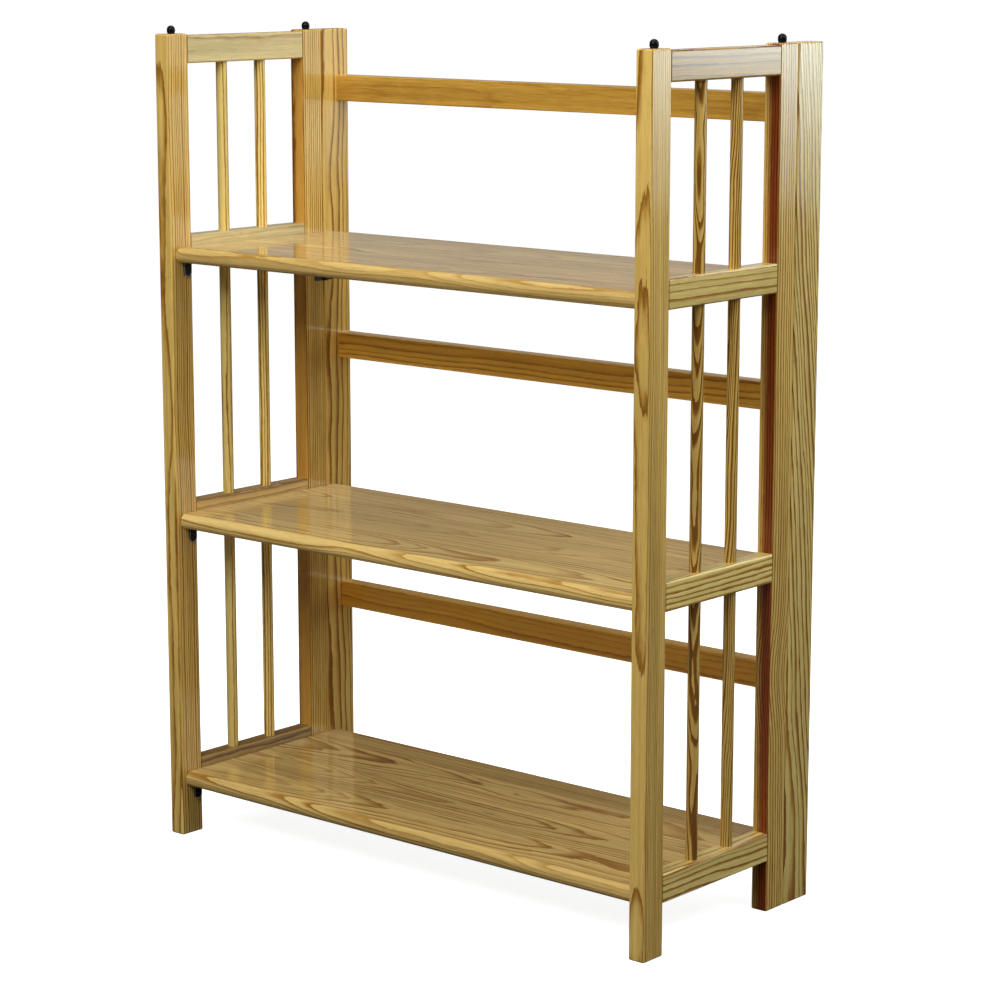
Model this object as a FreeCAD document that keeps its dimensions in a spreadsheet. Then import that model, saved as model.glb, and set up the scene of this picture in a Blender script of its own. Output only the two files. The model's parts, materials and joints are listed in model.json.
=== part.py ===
"""Folding three-shelf bookcase in pine, as a parametric FreeCAD document.

Frame: X across the width, Y from the open front (-) to the back frame (+), Z up from the floor.
The origin is on the floor, at the middle of the width and of the depth.  Millimetres.

Two ladder-like side panels (stiles, rails and dowels) are hinged to a back frame (posts and slats).
Each shelf turns on two pins in the back posts and rests on a bracket on each front stile.
"""
import FreeCAD, Part
import os
import re
import Sketcher

Vector = FreeCAD.Vector

# ------------------------------------------------------------------ driving dimensions
SIZES = [
    # the whole case
    ("case_width", 698.5, "outside of one side panel to the outside of the other"),
    ("panel_depth", 247.0, "front of a side panel to its rear face"),
    ("panel_gap", 0.5, "gap between a side panel and the back post behind it"),
    ("post_depth", 44.5, "depth of a back post"),
    ("stile_height", 924.5, "floor to the top of stiles and posts"),
    ("stile_thick", 20.0, "thickness of stiles, rails and posts across the width"),
    ("stile_depth", 32.0, "depth of a stile"),
    ("edge_round", 2.0, "rounded edge of the stiles, posts and rails"),
    # side panel rails and dowels
    ("rail_height", 31.0, "height of every rail"),
    ("rail_base", 56.5, "floor to the underside of the lowest rail"),
    ("top_space", 192.0, "clear height between the top shelf's rail and the upper rail"),
    ("top_rail_drop", 2.0, "top of a stile down to the top of the upper rail"),
    ("tenon_thick", 8.0, "thickness of a rail's tenon"),
    ("tenon_length", 10.0, "length of a tenon"),
    ("tenon_shoulder", 4.0, "shoulder above and below a tenon"),
    ("mortise_play", 0.8, "room left at the bottom of a mortise or bore"),
    ("dowel_dia", 12.7, "diameter of the upright dowels"),
    ("dowel_entry", 10.0, "how far a dowel enters the lowest and the upper rail"),
    ("dowel_play", 0.1, "radial room around a dowel in its hole"),
    # back slats
    ("slat_height", 30.5, "height of a back slat"),
    ("slat_thick", 19.0, "thickness of a back slat"),
    ("slat_inset", 1.5, "rear face of a post to the rear face of a slat"),
    ("slat_rise", 171.5, "underside of a shelf rail up to the underside of the slat above it"),
    ("slat_tenon", 9.0, "thickness of a slat's tenon"),
    ("slat_round", 1.5, "rounded edge of a slat"),
    # shelves
    ("shelf_thick", 18.0, "thickness of a shelf"),
    ("shelf_setback", 5.6, "front of a stile to the front of a shelf"),
    ("shelf_lift", 1.0, "underside of a rail up to the underside of a shelf"),
    ("shelf_play", 0.75, "gap between a shelf's end and the side panel"),
    ("nose_flat", 2.0, "flat left in the middle of a shelf's rounded front edge"),
    ("tail_round", 2.0, "rounding of a shelf's rear edge"),
    ("pivot_inset", 7.0, "front face of a post to the shelf pivot"),
    ("pivot_tail", 6.5, "shelf pivot to the shelf's rear edge"),
    ("pivot_dia", 5.0, "diameter of a shelf pivot pin"),
    ("pivot_in_shelf", 25.0, "length of a pivot pin inside the shelf"),
    ("pivot_in_post", 12.0, "length of a pivot pin inside the post"),
    ("pivot_play", 0.06, "radial running clearance of a pivot pin"),
    # stacking pegs and their sockets
    ("peg_ball", 9.4, "diameter of a stacking peg's head"),
    ("peg_band", 1.5, "straight band around a peg's head"),
    ("peg_neck", 8.0, "diameter of a peg's neck"),
    ("peg_neck_rise", 0.5, "height of a peg's neck"),
    ("peg_stem", 6.0, "diameter of a peg's stem"),
    ("peg_stem_length", 17.0, "length of a peg's stem in the stile"),
    ("socket_play", 0.4, "radial room around a peg in the socket of the case above"),
    ("socket_room", 2.8, "room above a peg in the socket of the case above"),
    # shelf brackets
    ("bracket_wide", 11.0, "width of a shelf bracket"),
    ("bracket_thick", 2.2, "thickness of a bracket's leg at its rim"),
    ("bracket_edge", 2.7, "rear face of a front stile to the bracket"),
    ("ledge_reach", 9.0, "reach of the ledge that carries the shelf"),
    ("ledge_thick", 1.6, "thickness of the ledge"),
    ("ledge_corner", 2.2, "rounded corners of the ledge"),
    ("rim_wide", 1.2, "width of the raised rim of a bracket"),
    ("rim_high", 0.9, "height of the raised rim of a bracket"),
    ("rest_gap", 0.3, "room between a bracket's ledge and its shelf"),
    # butt hinges
    ("hinge_height", 38.0, "height of a hinge"),
    ("hinge_drop", 2.0, "underside of a shelf down to the top of a hinge"),
    ("leaf_wide", 16.5, "hinge axis to the outer edge of a leaf"),
    ("leaf_thick", 1.2, "thickness of a leaf"),
    ("leaf_corner", 2.5, "rounded corners of a leaf"),
    ("knuckle_dia", 4.8, "outside diameter of a knuckle"),
    ("knuckle_gap", 0.25, "gap between two knuckles, and around a knuckle"),
    ("hinge_pin_dia", 2.4, "diameter of a hinge pin"),
    ("hinge_pin_play", 0.06, "radial running clearance of a hinge pin"),
    ("hinge_pin_tip", 0.5, "how far a hinge pin stands out of its knuckles"),
    ("leaf_hole_place", 10.2, "hinge axis to the screws of a leaf"),
    ("leaf_hole_spacing", 22.0, "from one screw of a leaf to the other"),
    # wood screws
    ("screw_shank", 2.8, "diameter of a screw's shank"),
    ("screw_length", 13.0, "length of a screw inside the wood"),
    ("screw_tip", 3.0, "length of a screw's point"),
    ("screw_play", 0.06, "radial room around a screw"),
    ("head_rim", 0.1, "thickness of the rim of a countersunk head"),
    ("pan_head", 4.6, "diameter of a bracket screw's head"),
    ("pan_height", 1.3, "height of a bracket screw's head"),
    ("bracket_screw_drop", 1.4, "underside of the ledge down to the upper screw's head"),
    ("bracket_screw_spacing", 6.2, "upper to lower screw of a bracket"),
]
ALIASES = {alias for alias, value, note in SIZES}

doc = FreeCAD.newDocument("FoldingBookcase")
sheet = doc.addObject("Spreadsheet::Sheet", "Sizes")
for row, (alias, value, note) in enumerate(SIZES, start=1):
    sheet.set("A%d" % row, alias)
    sheet.set("B%d" % row, str(value))
    sheet.set("C%d" % row, note)
    sheet.setAlias("B%d" % row, alias)
doc.recompute()


def on_sheet(text):
    """Turn words such as 'case_width / 2' into an expression on the sheet."""
    return re.sub("[a-z_]+", lambda word: "Sizes." * (word.group() in ALIASES) + word.group(), text)


# ------------------------------------------------------------------ places worked out from the sizes
LEVELS = ("bottom", "middle", "top")
SIDES = (("left", -1), ("right", 1))

FRONT = "-(panel_depth + panel_gap + post_depth) / 2"            # Y of the stiles' front faces
SEAM = "(%s + panel_depth + panel_gap / 2)" % FRONT              # Y of the hinge axes
POST_FRONT = "(%s + panel_depth + panel_gap)" % FRONT            # Y of the posts' front faces
INNER = "(case_width / 2 - stile_thick)"                         # X of the right panel's inner face
PANEL_MID = "(case_width / 2 - stile_thick / 2)"                 # X of the right panel's middle
CLEAR_DEPTH = "(panel_depth - 2 * stile_depth)"                  # between the two stiles of a panel
TENON_HIGH = "(rail_height - 2 * tenon_shoulder)"
UPPER_RAIL = "(stile_height - top_rail_drop - rail_height)"      # underside of the upper rail
SHELF_PITCH = "((%s - top_space - rail_height - rail_base) / %d)" % (UPPER_RAIL, len(LEVELS) - 1)

SHELF_BASE = "(rail_base + shelf_lift)"                          # Z of the lowest shelf's underside
PIVOT_Y = "(%s + pivot_inset)" % POST_FRONT
PIVOT_Z = "(%s + shelf_thick / 2)" % SHELF_BASE
SHELF_DEPTH = "(%s + pivot_tail - (%s) - shelf_setback)" % (PIVOT_Y, FRONT)
SHELF_LENGTH = "(2 * %s - 2 * shelf_play)" % INNER
SLAT_Y = "(%s + post_depth - slat_inset - slat_thick / 2)" % POST_FRONT
SLAT_Z = "(rail_base + slat_rise + slat_height / 2)"

PEG_LOW = "(peg_neck_rise + sqrt(peg_ball * peg_ball - peg_neck * peg_neck) / 2)"   # centre of its lower dome
PEG_HIGH = "(%s + peg_band)" % PEG_LOW                           # centre of a peg's upper dome
PEG_RISE = "(%s + peg_ball / 2)" % PEG_HIGH                      # height of a peg above the stile

HINGE_X = "(%s - knuckle_dia / 2)" % INNER                       # axis of the right-hand hinges
HINGE_Z = "(%s - hinge_drop - hinge_height / 2)" % SHELF_BASE    # middle of the lowest hinge
FLAT_HEAD = "(screw_shank + 2 * (leaf_thick - head_rim))"        # diameter of a countersunk head

BRACKET_Y = "(%s + stile_depth - bracket_edge - bracket_wide / 2)" % FRONT
BRACKET_Z = "(%s - rest_gap)" % SHELF_BASE
BRACKET_FLOOR = "(bracket_thick - rim_high)"                     # where the bracket screws' heads sit
UPPER_SCREW = "(ledge_thick + bracket_screw_drop + pan_head / 2)"  # top of a bracket to its upper screw
LOWER_SCREW = "(%s + bracket_screw_spacing)" % UPPER_SCREW       # and to the lower, centre of its round end


# ------------------------------------------------------------------ modelling helpers
def new_body(name):
    body = doc.addObject("PartDesign::Body", name)
    body.Label = name
    return body


def place(body, x="", y="", z="", turn=0.0):
    """Put a body at three expressions, turned about the vertical."""
    body.Placement = FreeCAD.Placement(Vector(), FreeCAD.Rotation(Vector(0, 0, 1), turn))
    for axis, text in (("x", x), ("y", y), ("z", z)):
        if text:
            body.setExpression("Placement.Base." + axis, on_sheet(text))


def datum(body, role):
    return next(item for item in body.Origin.OriginFeatures if item.Role == role)


def new_sketch(body, role, x="", y="", z=""):
    """A sketch on one of the body's own planes, moved in the plane (x, y) and along its normal (z)."""
    sketch = body.newObject("Sketcher::SketchObject", body.Name + "_sketch")
    sketch.AttachmentSupport = [(datum(body, role), "")]
    sketch.MapMode = "FlatFace"
    for axis, text in (("x", x), ("y", y), ("z", z)):
        if text:
            sketch.setExpression("AttachmentOffset.Base." + axis, on_sheet(text))
    return sketch


def worth(sketch, text):
    """The present value of an expression."""
    return float(sketch.evalExpression(on_sheet(text)))


def bind(sketch, constraint, text):
    """Add a measured constraint and tie it to an expression on the sheet."""
    index = sketch.addConstraint(constraint)
    sketch.setExpression("Constraints[%d]" % index, on_sheet(text))


def rectangle(sketch, wide, high):
    """A rectangle centred on the sketch's origin."""
    w = worth(sketch, wide) / 2
    v = worth(sketch, high) / 2
    corners = [Vector(-w, -v), Vector(w, -v), Vector(w, v), Vector(-w, v)]
    for i in range(4):
        sketch.addGeometry(Part.LineSegment(corners[i], corners[(i + 1) % 4]), False)
    for i in range(4):
        sketch.addConstraint(Sketcher.Constraint("Coincident", i, 2, (i + 1) % 4, 1))
    for i, kind in enumerate(("Horizontal", "Vertical", "Horizontal", "Vertical")):
        sketch.addConstraint(Sketcher.Constraint(kind, i))
    sketch.addConstraint(Sketcher.Constraint("Symmetric", 0, 1, 1, 2, -1, 1))
    bind(sketch, Sketcher.Constraint("DistanceX", 0, 1, 0, 2, 2 * w), wide)
    bind(sketch, Sketcher.Constraint("DistanceY", 1, 1, 1, 2, 2 * v), high)
    return sketch


def circle(sketch, diameter):
    """A circle centred on the sketch's origin."""
    size = worth(sketch, diameter)
    sketch.addGeometry(Part.Circle(Vector(), Vector(0, 0, 1), size / 2), False)
    sketch.addConstraint(Sketcher.Constraint("Coincident", 0, 3, -1, 1))
    bind(sketch, Sketcher.Constraint("Diameter", 0, size), diameter)
    return sketch


def profile(sketch, points, arcs=()):
    """A closed outline through points given as pairs of expressions.

    arcs are the numbers of the sides that are arcs; their centres lie on the sketch's vertical axis, level
    with the end that is further from it.
    """
    places = [Vector(worth(sketch, u), worth(sketch, v)) for u, v in points]
    for i, start in enumerate(places):
        end = places[(i + 1) % len(places)]
        if i in arcs:
            widest = max(start, end, key=lambda place: place.x)
            ring = Part.Circle(Vector(0, widest.y), Vector(0, 0, 1), widest.x)
            sketch.addGeometry(Part.ArcOfCircle(ring, ring.parameter(start), ring.parameter(end)), False)
            sketch.addConstraint(Sketcher.Constraint("PointOnObject", i, 3, -2))
        else:
            sketch.addGeometry(Part.LineSegment(start, end), False)
    for i in range(len(points)):
        sketch.addConstraint(Sketcher.Constraint("Coincident", i, 2, (i + 1) % len(points), 1))
    for i, (u, v) in enumerate(points):
        for kind, text, value, axis in (("DistanceX", u, places[i].x, -2), ("DistanceY", v, places[i].y, -1)):
            if text == "0":
                sketch.addConstraint(Sketcher.Constraint("PointOnObject", i, 1, axis))
            else:
                bind(sketch, Sketcher.Constraint(kind, -1, 1, i, 1, value), text)
    return sketch


def pad(body, sketch, length, both_ways=False, backwards=False):
    feature = body.newObject("PartDesign::Pad", body.Name + "_pad")
    feature.Profile = sketch
    feature.SideType = "Symmetric" if both_ways else "One side"
    feature.Reversed = backwards
    feature.setExpression("Length", on_sheet(length))
    doc.recompute()
    return feature


def pocket(body, sketch, depth, both_ways=False, backwards=False):
    """Cut along the sketch's back (or, backwards, its front) and make sure that something was cut."""
    before = body.Shape.Volume
    feature = body.newObject("PartDesign::Pocket", body.Name + "_pocket")
    feature.Profile = sketch
    feature.SideType = "Symmetric" if both_ways else "One side"
    feature.Reversed = backwards
    feature.setExpression("Length", on_sheet(depth))
    doc.recompute()
    if not body.Shape.Volume < before:
        raise RuntimeError(body.Label + ": a pocket cut nothing")
    return feature


def revolve(body, sketch, axis):
    feature = body.newObject("PartDesign::Revolution", body.Name + "_revolution")
    feature.Profile = sketch
    feature.ReferenceAxis = (sketch, [axis])
    feature.Angle = 360
    doc.recompute()
    return feature


def repeat(body, features, role, count, spacing, backwards=False):
    """Repeat features along one of the body's own axes."""
    feature = body.newObject("PartDesign::LinearPattern", body.Name + "_pattern")
    feature.Originals = features
    feature.Direction = (datum(body, role), [""])
    feature.Reversed = backwards
    feature.Mode = "Spacing"
    feature.Occurrences = count
    feature.setExpression("Offset", on_sheet(spacing))
    body.Tip = feature
    doc.recompute()
    return feature


def at_each_level(body, feature):
    """Repeat a feature of the lowest shelf's level at the levels above it."""
    return repeat(body, [feature], "Z_Axis", len(LEVELS), SHELF_PITCH)


def mirror(body, features, role):
    """Mirror features in one of the body's own planes."""
    feature = body.newObject("PartDesign::Mirrored", body.Name + "_mirror")
    feature.Originals = features
    feature.MirrorPlane = (datum(body, role), [""])
    body.Tip = feature
    doc.recompute()
    return feature


def fillet(body, radius, wanted=lambda edge: True):
    """Round the edges of the body for which wanted is true."""
    base = body.Tip
    names = ["Edge%d" % (i + 1) for i, edge in enumerate(base.Shape.Edges) if wanted(edge)]
    feature = body.newObject("PartDesign::Fillet", body.Name + "_fillet")
    feature.Base = (base, names)
    feature.setExpression("Radius", on_sheet(radius))
    doc.recompute()
    return feature


def along(edge, axis):
    """True for a straight edge that runs along axis 0, 1 or 2."""
    run = edge.Vertexes[-1].Point - edge.Vertexes[0].Point
    return all(abs(run[i]) < 1e-6 for i in range(3) if i != axis)


def level_z(text, number):
    """The height of something at the lowest level, taken up to level number."""
    return "%s + %d * %s" % (text, number, SHELF_PITCH)


# ------------------------------------------------------------------ side panels
def stile(side_name, side, which):
    """An upright of a side panel: mortised for four rails, bored for its peg and its socket.

    Its frame stands on the floor in the middle of the stile.
    """
    body = new_body("%s_%s_stile" % (side_name, which))
    is_front = which == "front"
    pad(body, rectangle(new_sketch(body, "XY_Plane"), "stile_thick", "stile_depth"), "stile_height")
    fillet(body, "edge_round")

    # mortises, in the face that looks along the panel
    face = "-stile_depth / 2" if is_front else "stile_depth / 2"
    low = new_sketch(body, "XZ_Plane", y="rail_base + rail_height / 2", z=face)
    rectangle(low, "tenon_thick", TENON_HIGH)
    at_each_level(body, pocket(body, low, "tenon_length + mortise_play", backwards=is_front))
    high = new_sketch(body, "XZ_Plane", y=UPPER_RAIL + " + rail_height / 2", z=face)
    rectangle(high, "tenon_thick", TENON_HIGH)
    pocket(body, high, "tenon_length + mortise_play", backwards=is_front)

    # the peg's bore at the top and the stacking socket in the foot
    top = circle(new_sketch(body, "XY_Plane", z="stile_height"), "peg_stem + 2 * screw_play")
    pocket(body, top, "peg_stem_length + mortise_play")
    foot = circle(new_sketch(body, "XY_Plane"), "peg_ball + 2 * socket_play")
    pocket(body, foot, PEG_RISE + " + socket_room", backwards=True)

    # screw holes of the brackets or of the hinges, in the inner face
    if is_front:
        across = "stile_depth / 2 - bracket_edge - bracket_wide / 2"
        heights = ["%s - %s" % (BRACKET_Z, UPPER_SCREW), "%s - %s" % (BRACKET_Z, LOWER_SCREW)]
        middle = "stile_depth / 2"
    else:
        across = "stile_depth / 2 + panel_gap / 2 - leaf_hole_place"
        heights = leaf_screw_heights()
        middle = "panel_depth - stile_depth / 2"
    screw_holes(body, across, heights, side)
    place(body, x="%d * %s" % (side, PANEL_MID), y="%s + %s" % (FRONT, middle))
    return body


def leaf_screw_heights():
    """Z of the two screws of a leaf of the lowest hinge."""
    return [HINGE_Z + " - leaf_hole_spacing / 2", HINGE_Z + " + leaf_hole_spacing / 2"]


def inner_face(side):
    """X of the inner face of a stile or post, in its own frame."""
    return "stile_thick / 2" if side < 0 else "-stile_thick / 2"


def screw_holes(body, across, heights, side):
    """Pilot holes at each level, bored from the inner face."""
    for height in heights:
        sketch = new_sketch(body, "YZ_Plane", x=across, y=height, z=inner_face(side))
        circle(sketch, "screw_shank + 2 * screw_play")
        at_each_level(body, pocket(body, sketch, "screw_length + mortise_play", backwards=side > 0))


def rail(side_name, side, which, base, dowels):
    """A cross-piece of a side panel: rounded board, a tenon at each end and two dowel holes.

    Its frame is in the middle of the rail.  dowels says on which side of the rail they go on.
    """
    body = new_body("%s_%s_rail" % (side_name, which))
    board = rectangle(new_sketch(body, "XZ_Plane"), "stile_thick", "rail_height")
    pad(body, board, CLEAR_DEPTH, both_ways=True)
    fillet(body, "edge_round")
    tenon = rectangle(new_sketch(body, "XZ_Plane"), "tenon_thick", TENON_HIGH)
    pad(body, tenon, CLEAR_DEPTH + " + 2 * tenon_length", both_ways=True)

    start = {"both": "", "below": "-rail_height / 2", "above": "rail_height / 2"}[dowels]
    depth = "2 * rail_height" if dowels == "both" else "dowel_entry + mortise_play"
    hole = new_sketch(body, "XY_Plane", y=CLEAR_DEPTH + " / 6", z=start)
    circle(hole, "dowel_dia + 2 * dowel_play")
    cut = pocket(body, hole, depth, both_ways=dowels == "both", backwards=dowels == "below")
    mirror(body, [cut], "XZ_Plane")
    place(body, x="%d * %s" % (side, PANEL_MID), y="%s + panel_depth / 2" % FRONT,
          z=base + " + rail_height / 2")
    return body


def dowel(side_name, side, which):
    """A round spindle from the lowest rail to the upper rail, a third of the way between the stiles.

    Its frame is at its lower end.
    """
    body = new_body("%s_%s_dowel" % (side_name, which))
    low = "rail_base + rail_height - dowel_entry"
    pad(body, circle(new_sketch(body, "XY_Plane"), "dowel_dia"), "%s + dowel_entry - (%s)" % (UPPER_RAIL, low))
    sign = "-" if which == "front" else "+"
    place(body, x="%d * %s" % (side, PANEL_MID),
          y="%s + panel_depth / 2 %s %s / 6" % (FRONT, sign, CLEAR_DEPTH), z=low)
    return body


# ------------------------------------------------------------------ back frame
def back_post(side_name, side):
    """A post of the back frame, mortised for the slats and bored for the shelf pivots and hinge screws."""
    body = new_body("%s_back_post" % side_name)
    pad(body, rectangle(new_sketch(body, "XY_Plane"), "stile_thick", "post_depth"), "stile_height")
    fillet(body, "edge_round")
    middle = "(%s + post_depth / 2)" % POST_FRONT

    mortise = new_sketch(body, "YZ_Plane", x="%s - %s" % (SLAT_Y, middle), y=SLAT_Z, z=inner_face(side))
    rectangle(mortise, "slat_tenon", "slat_height - 2 * tenon_shoulder")
    at_each_level(body, pocket(body, mortise, "tenon_length + mortise_play", backwards=side > 0))

    bore = new_sketch(body, "YZ_Plane", x="pivot_inset - post_depth / 2", y=PIVOT_Z, z=inner_face(side))
    circle(bore, "pivot_dia + 2 * pivot_play")
    at_each_level(body, pocket(body, bore, "pivot_in_post + mortise_play", backwards=side > 0))

    screw_holes(body, "leaf_hole_place - panel_gap / 2 - post_depth / 2", leaf_screw_heights(), side)
    place(body, x="%d * %s" % (side, PANEL_MID), y=middle)
    return body


def back_slat(level, number):
    """A slat between the posts, with a tenon at each end.  Its frame is in its middle."""
    body = new_body("%s_back_slat" % level)
    board = rectangle(new_sketch(body, "YZ_Plane"), "slat_thick", "slat_height")
    pad(body, board, "2 * " + INNER, both_ways=True)
    fillet(body, "slat_round")
    tenon = rectangle(new_sketch(body, "YZ_Plane"), "slat_tenon", "slat_height - 2 * tenon_shoulder")
    pad(body, tenon, "2 * %s + 2 * tenon_length" % INNER, both_ways=True)
    place(body, y=SLAT_Y, z=level_z(SLAT_Z, number))
    return body


# ------------------------------------------------------------------ shelves
def shelf(level, number):
    """A board with a rounded nose, bored at both ends for its pivot pins.  Its frame is on the pivot."""
    body = new_body("%s_shelf" % level)
    outline = new_sketch(body, "XY_Plane", y="pivot_tail - %s / 2" % SHELF_DEPTH)
    pad(body, rectangle(outline, SHELF_LENGTH, SHELF_DEPTH), "shelf_thick", both_ways=True)
    fillet(body, "(shelf_thick - nose_flat) / 2", lambda edge: along(edge, 0) and edge.CenterOfMass.y < 0)
    fillet(body, "tail_round", lambda edge: along(edge, 0) and edge.CenterOfMass.y > 0)
    end = circle(new_sketch(body, "YZ_Plane", z=SHELF_LENGTH + " / 2"), "pivot_dia + 2 * pivot_play")
    cut = pocket(body, end, "pivot_in_shelf - shelf_play + mortise_play")
    mirror(body, [cut], "YZ_Plane")
    place(body, y=PIVOT_Y, z=level_z(PIVOT_Z, number))
    return body


def pivot_pin(level, number, side_name, side):
    """The pin on which one end of a shelf turns in its post.  Its frame is at the panel's inner face."""
    body = new_body("%s_shelf_%s_pivot_pin" % (level, side_name))
    start = "pivot_in_post" if side > 0 else "-pivot_in_post"
    section = circle(new_sketch(body, "YZ_Plane", z=start), "pivot_dia")
    pad(body, section, "pivot_in_shelf + pivot_in_post", backwards=side > 0)
    place(body, x="%d * %s" % (side, INNER), y=PIVOT_Y, z=level_z(PIVOT_Z, number))
    return body


def shelf_bracket(level, number, side_name, side):
    """A pressed bracket: a round-ended leg with a raised rim, and a ledge for the shelf.

    Its frame is on the wood, at the top middle of the leg, with X into the room.
    """
    body = new_body("%s_%s_shelf_bracket" % (side_name, level))
    leg = rectangle(new_sketch(body, "YZ_Plane", y="-%s / 2" % LOWER_SCREW), "bracket_wide", LOWER_SCREW)
    pad(body, leg, "bracket_thick")
    pad(body, circle(new_sketch(body, "YZ_Plane", y="-" + LOWER_SCREW), "bracket_wide"), "bracket_thick")

    # the dished middle leaves the rim standing
    dish_high = "(%s - ledge_thick - rim_wide)" % LOWER_SCREW
    dish_wide = "bracket_wide - 2 * rim_wide"
    dish = new_sketch(body, "YZ_Plane", y="-%s + %s / 2" % (LOWER_SCREW, dish_high), z="bracket_thick")
    pocket(body, rectangle(dish, dish_wide, dish_high), "rim_high")
    round_end = new_sketch(body, "YZ_Plane", y="-" + LOWER_SCREW, z="bracket_thick")
    pocket(body, circle(round_end, dish_wide), "rim_high")

    ledge = new_sketch(body, "XY_Plane", x="ledge_reach / 2")
    pad(body, rectangle(ledge, "ledge_reach", "bracket_wide"), "ledge_thick", backwards=True)
    reach = body.Shape.BoundBox.XMax
    fillet(body, "ledge_corner", lambda edge: along(edge, 2) and abs(edge.CenterOfMass.x - reach) < 1e-6)

    hole = circle(new_sketch(body, "YZ_Plane", y="-" + UPPER_SCREW, z="bracket_thick"),
                  "screw_shank + 2 * screw_play")
    cut = pocket(body, hole, "2 * bracket_thick")
    repeat(body, [cut], "Z_Axis", 2, "bracket_screw_spacing", backwards=True)
    place(body, x="%d * %s" % (side, INNER), y=BRACKET_Y, z=level_z(BRACKET_Z, number),
          turn=180.0 if side > 0 else 0.0)
    return body


# ------------------------------------------------------------------ butt hinges
def hinge_leaf(level, number, side_name, side, which):
    """Half of a butt hinge, with its frame on the hinge axis at mid height and X into the room.

    The stile's leaf carries the middle knuckle and the post's leaf carries the two outer ones.
    """
    body = new_body("%s_%s_hinge_%s_leaf" % (side_name, level, which))
    knuckle = "((hinge_height - 2 * knuckle_gap) / 3)"
    sign = "" if (which == "post") == (side < 0) else "-"      # the leaf's side of the axis, in its own frame
    clear = "(knuckle_dia / 2 + knuckle_gap)"
    plate_x = "leaf_thick / 2 - knuckle_dia / 2"

    # flat plate, clear of the other leaf's knuckles
    plate = new_sketch(body, "XY_Plane", x=plate_x, y="%s(leaf_wide + %s) / 2" % (sign, clear))
    pad(body, rectangle(plate, "leaf_thick", "leaf_wide - " + clear), "hinge_height", both_ways=True)
    middle = abs(body.Shape.BoundBox.Center.y)
    fillet(body, "leaf_corner", lambda edge: along(edge, 0) and abs(edge.CenterOfMass.y) > middle)

    # rolled knuckles, each joined to the plate by a tongue
    step = "(%s + knuckle_gap)" % knuckle
    middles = ["0"] if which == "stile" else [step, "-" + step]
    for centre in middles:
        foot = "%s - %s / 2" % (centre, knuckle)
        tongue = new_sketch(body, "XY_Plane", x=plate_x, y="%s%s / 2" % (sign, clear), z=foot)
        pad(body, rectangle(tongue, "leaf_thick", clear), knuckle)
        pad(body, circle(new_sketch(body, "XY_Plane", z=foot), "knuckle_dia"), knuckle)
    bore = circle(new_sketch(body, "XY_Plane"), "hinge_pin_dia + 2 * hinge_pin_play")
    pocket(body, bore, "2 * hinge_height", both_ways=True)

    # two countersunk screw holes
    holes = new_sketch(body, "YZ_Plane", x="%sleaf_hole_place" % sign, y="-leaf_hole_spacing / 2",
                       z="leaf_thick - knuckle_dia / 2")
    circle(holes, "screw_shank")
    doc.recompute()
    hole = body.newObject("PartDesign::Hole", body.Name + "_hole")
    hole.Profile = holes
    doc.recompute()
    hole.ThreadType = "None"
    hole.DepthType = "ThroughAll"
    hole.setExpression("Diameter", on_sheet("screw_shank + 2 * screw_play"))
    hole.HoleCutType = "Countersink"
    hole.HoleCutCustomValues = True
    hole.setExpression("HoleCutDiameter", on_sheet(FLAT_HEAD + " + 2 * screw_play"))
    hole.HoleCutCountersinkAngle = 90
    body.Tip = hole
    doc.recompute()
    repeat(body, [hole], "Z_Axis", 2, "leaf_hole_spacing")
    place(body, x="%d * %s" % (side, HINGE_X), y=SEAM, z=level_z(HINGE_Z, number),
          turn=180.0 if side > 0 else 0.0)
    return body


def hinge_pins(side_name, side):
    """The pins of one side's three hinges.  The frame is at the middle of the lowest hinge."""
    body = new_body("%s_hinge_pins" % side_name)
    half = "(hinge_height / 2 + hinge_pin_tip)"
    tip = "hinge_pin_dia / 2 - hinge_pin_tip"
    outline = [("0", "-" + half), (tip, "-" + half), ("hinge_pin_dia / 2", "hinge_pin_tip - " + half),
               ("hinge_pin_dia / 2", half + " - hinge_pin_tip"), (tip, half), ("0", half)]
    at_each_level(body, revolve(body, profile(new_sketch(body, "XZ_Plane"), outline), "V_Axis"))
    place(body, x="%d * %s" % (side, HINGE_X), y=SEAM, z=HINGE_Z)
    return body


# ------------------------------------------------------------------ wood screws
def screw_set(name, side, outline, y, z, screws):
    """Screws of one kind on one side, as separate solids, each turned about its own axis.

    The frame is on the wood with X into the room; screws holds the (Y, Z) of each at the lowest level.
    """
    body = new_body(name)
    for across, up in screws:
        sketch = new_sketch(body, "XZ_Plane", y=up, z="-(%s)" % across)
        at_each_level(body, revolve(body, profile(sketch, outline), "H_Axis"))
    place(body, x="%d * %s" % (side, INNER), y=y, z=z, turn=180.0 if side > 0 else 0.0)
    return body


def shank(start):
    """The straight and pointed part of a screw's half outline, from X = start down into the wood."""
    return [(start, "screw_shank / 2"), ("screw_tip - screw_length", "screw_shank / 2"), ("-screw_length", "0")]


def hinge_screws(side_name, side):
    """Countersunk screws of one side's hinges, flush with the leaves."""
    outline = [("leaf_thick", "0"), ("leaf_thick", FLAT_HEAD + " / 2")] + shank("head_rim")
    signs = (("", ""), ("", "-"), ("-", ""), ("-", "-"))
    corners = [(across + "leaf_hole_place", up + "leaf_hole_spacing / 2") for across, up in signs]
    return screw_set("%s_hinge_screws" % side_name, side, outline, SEAM, HINGE_Z, corners)


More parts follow.
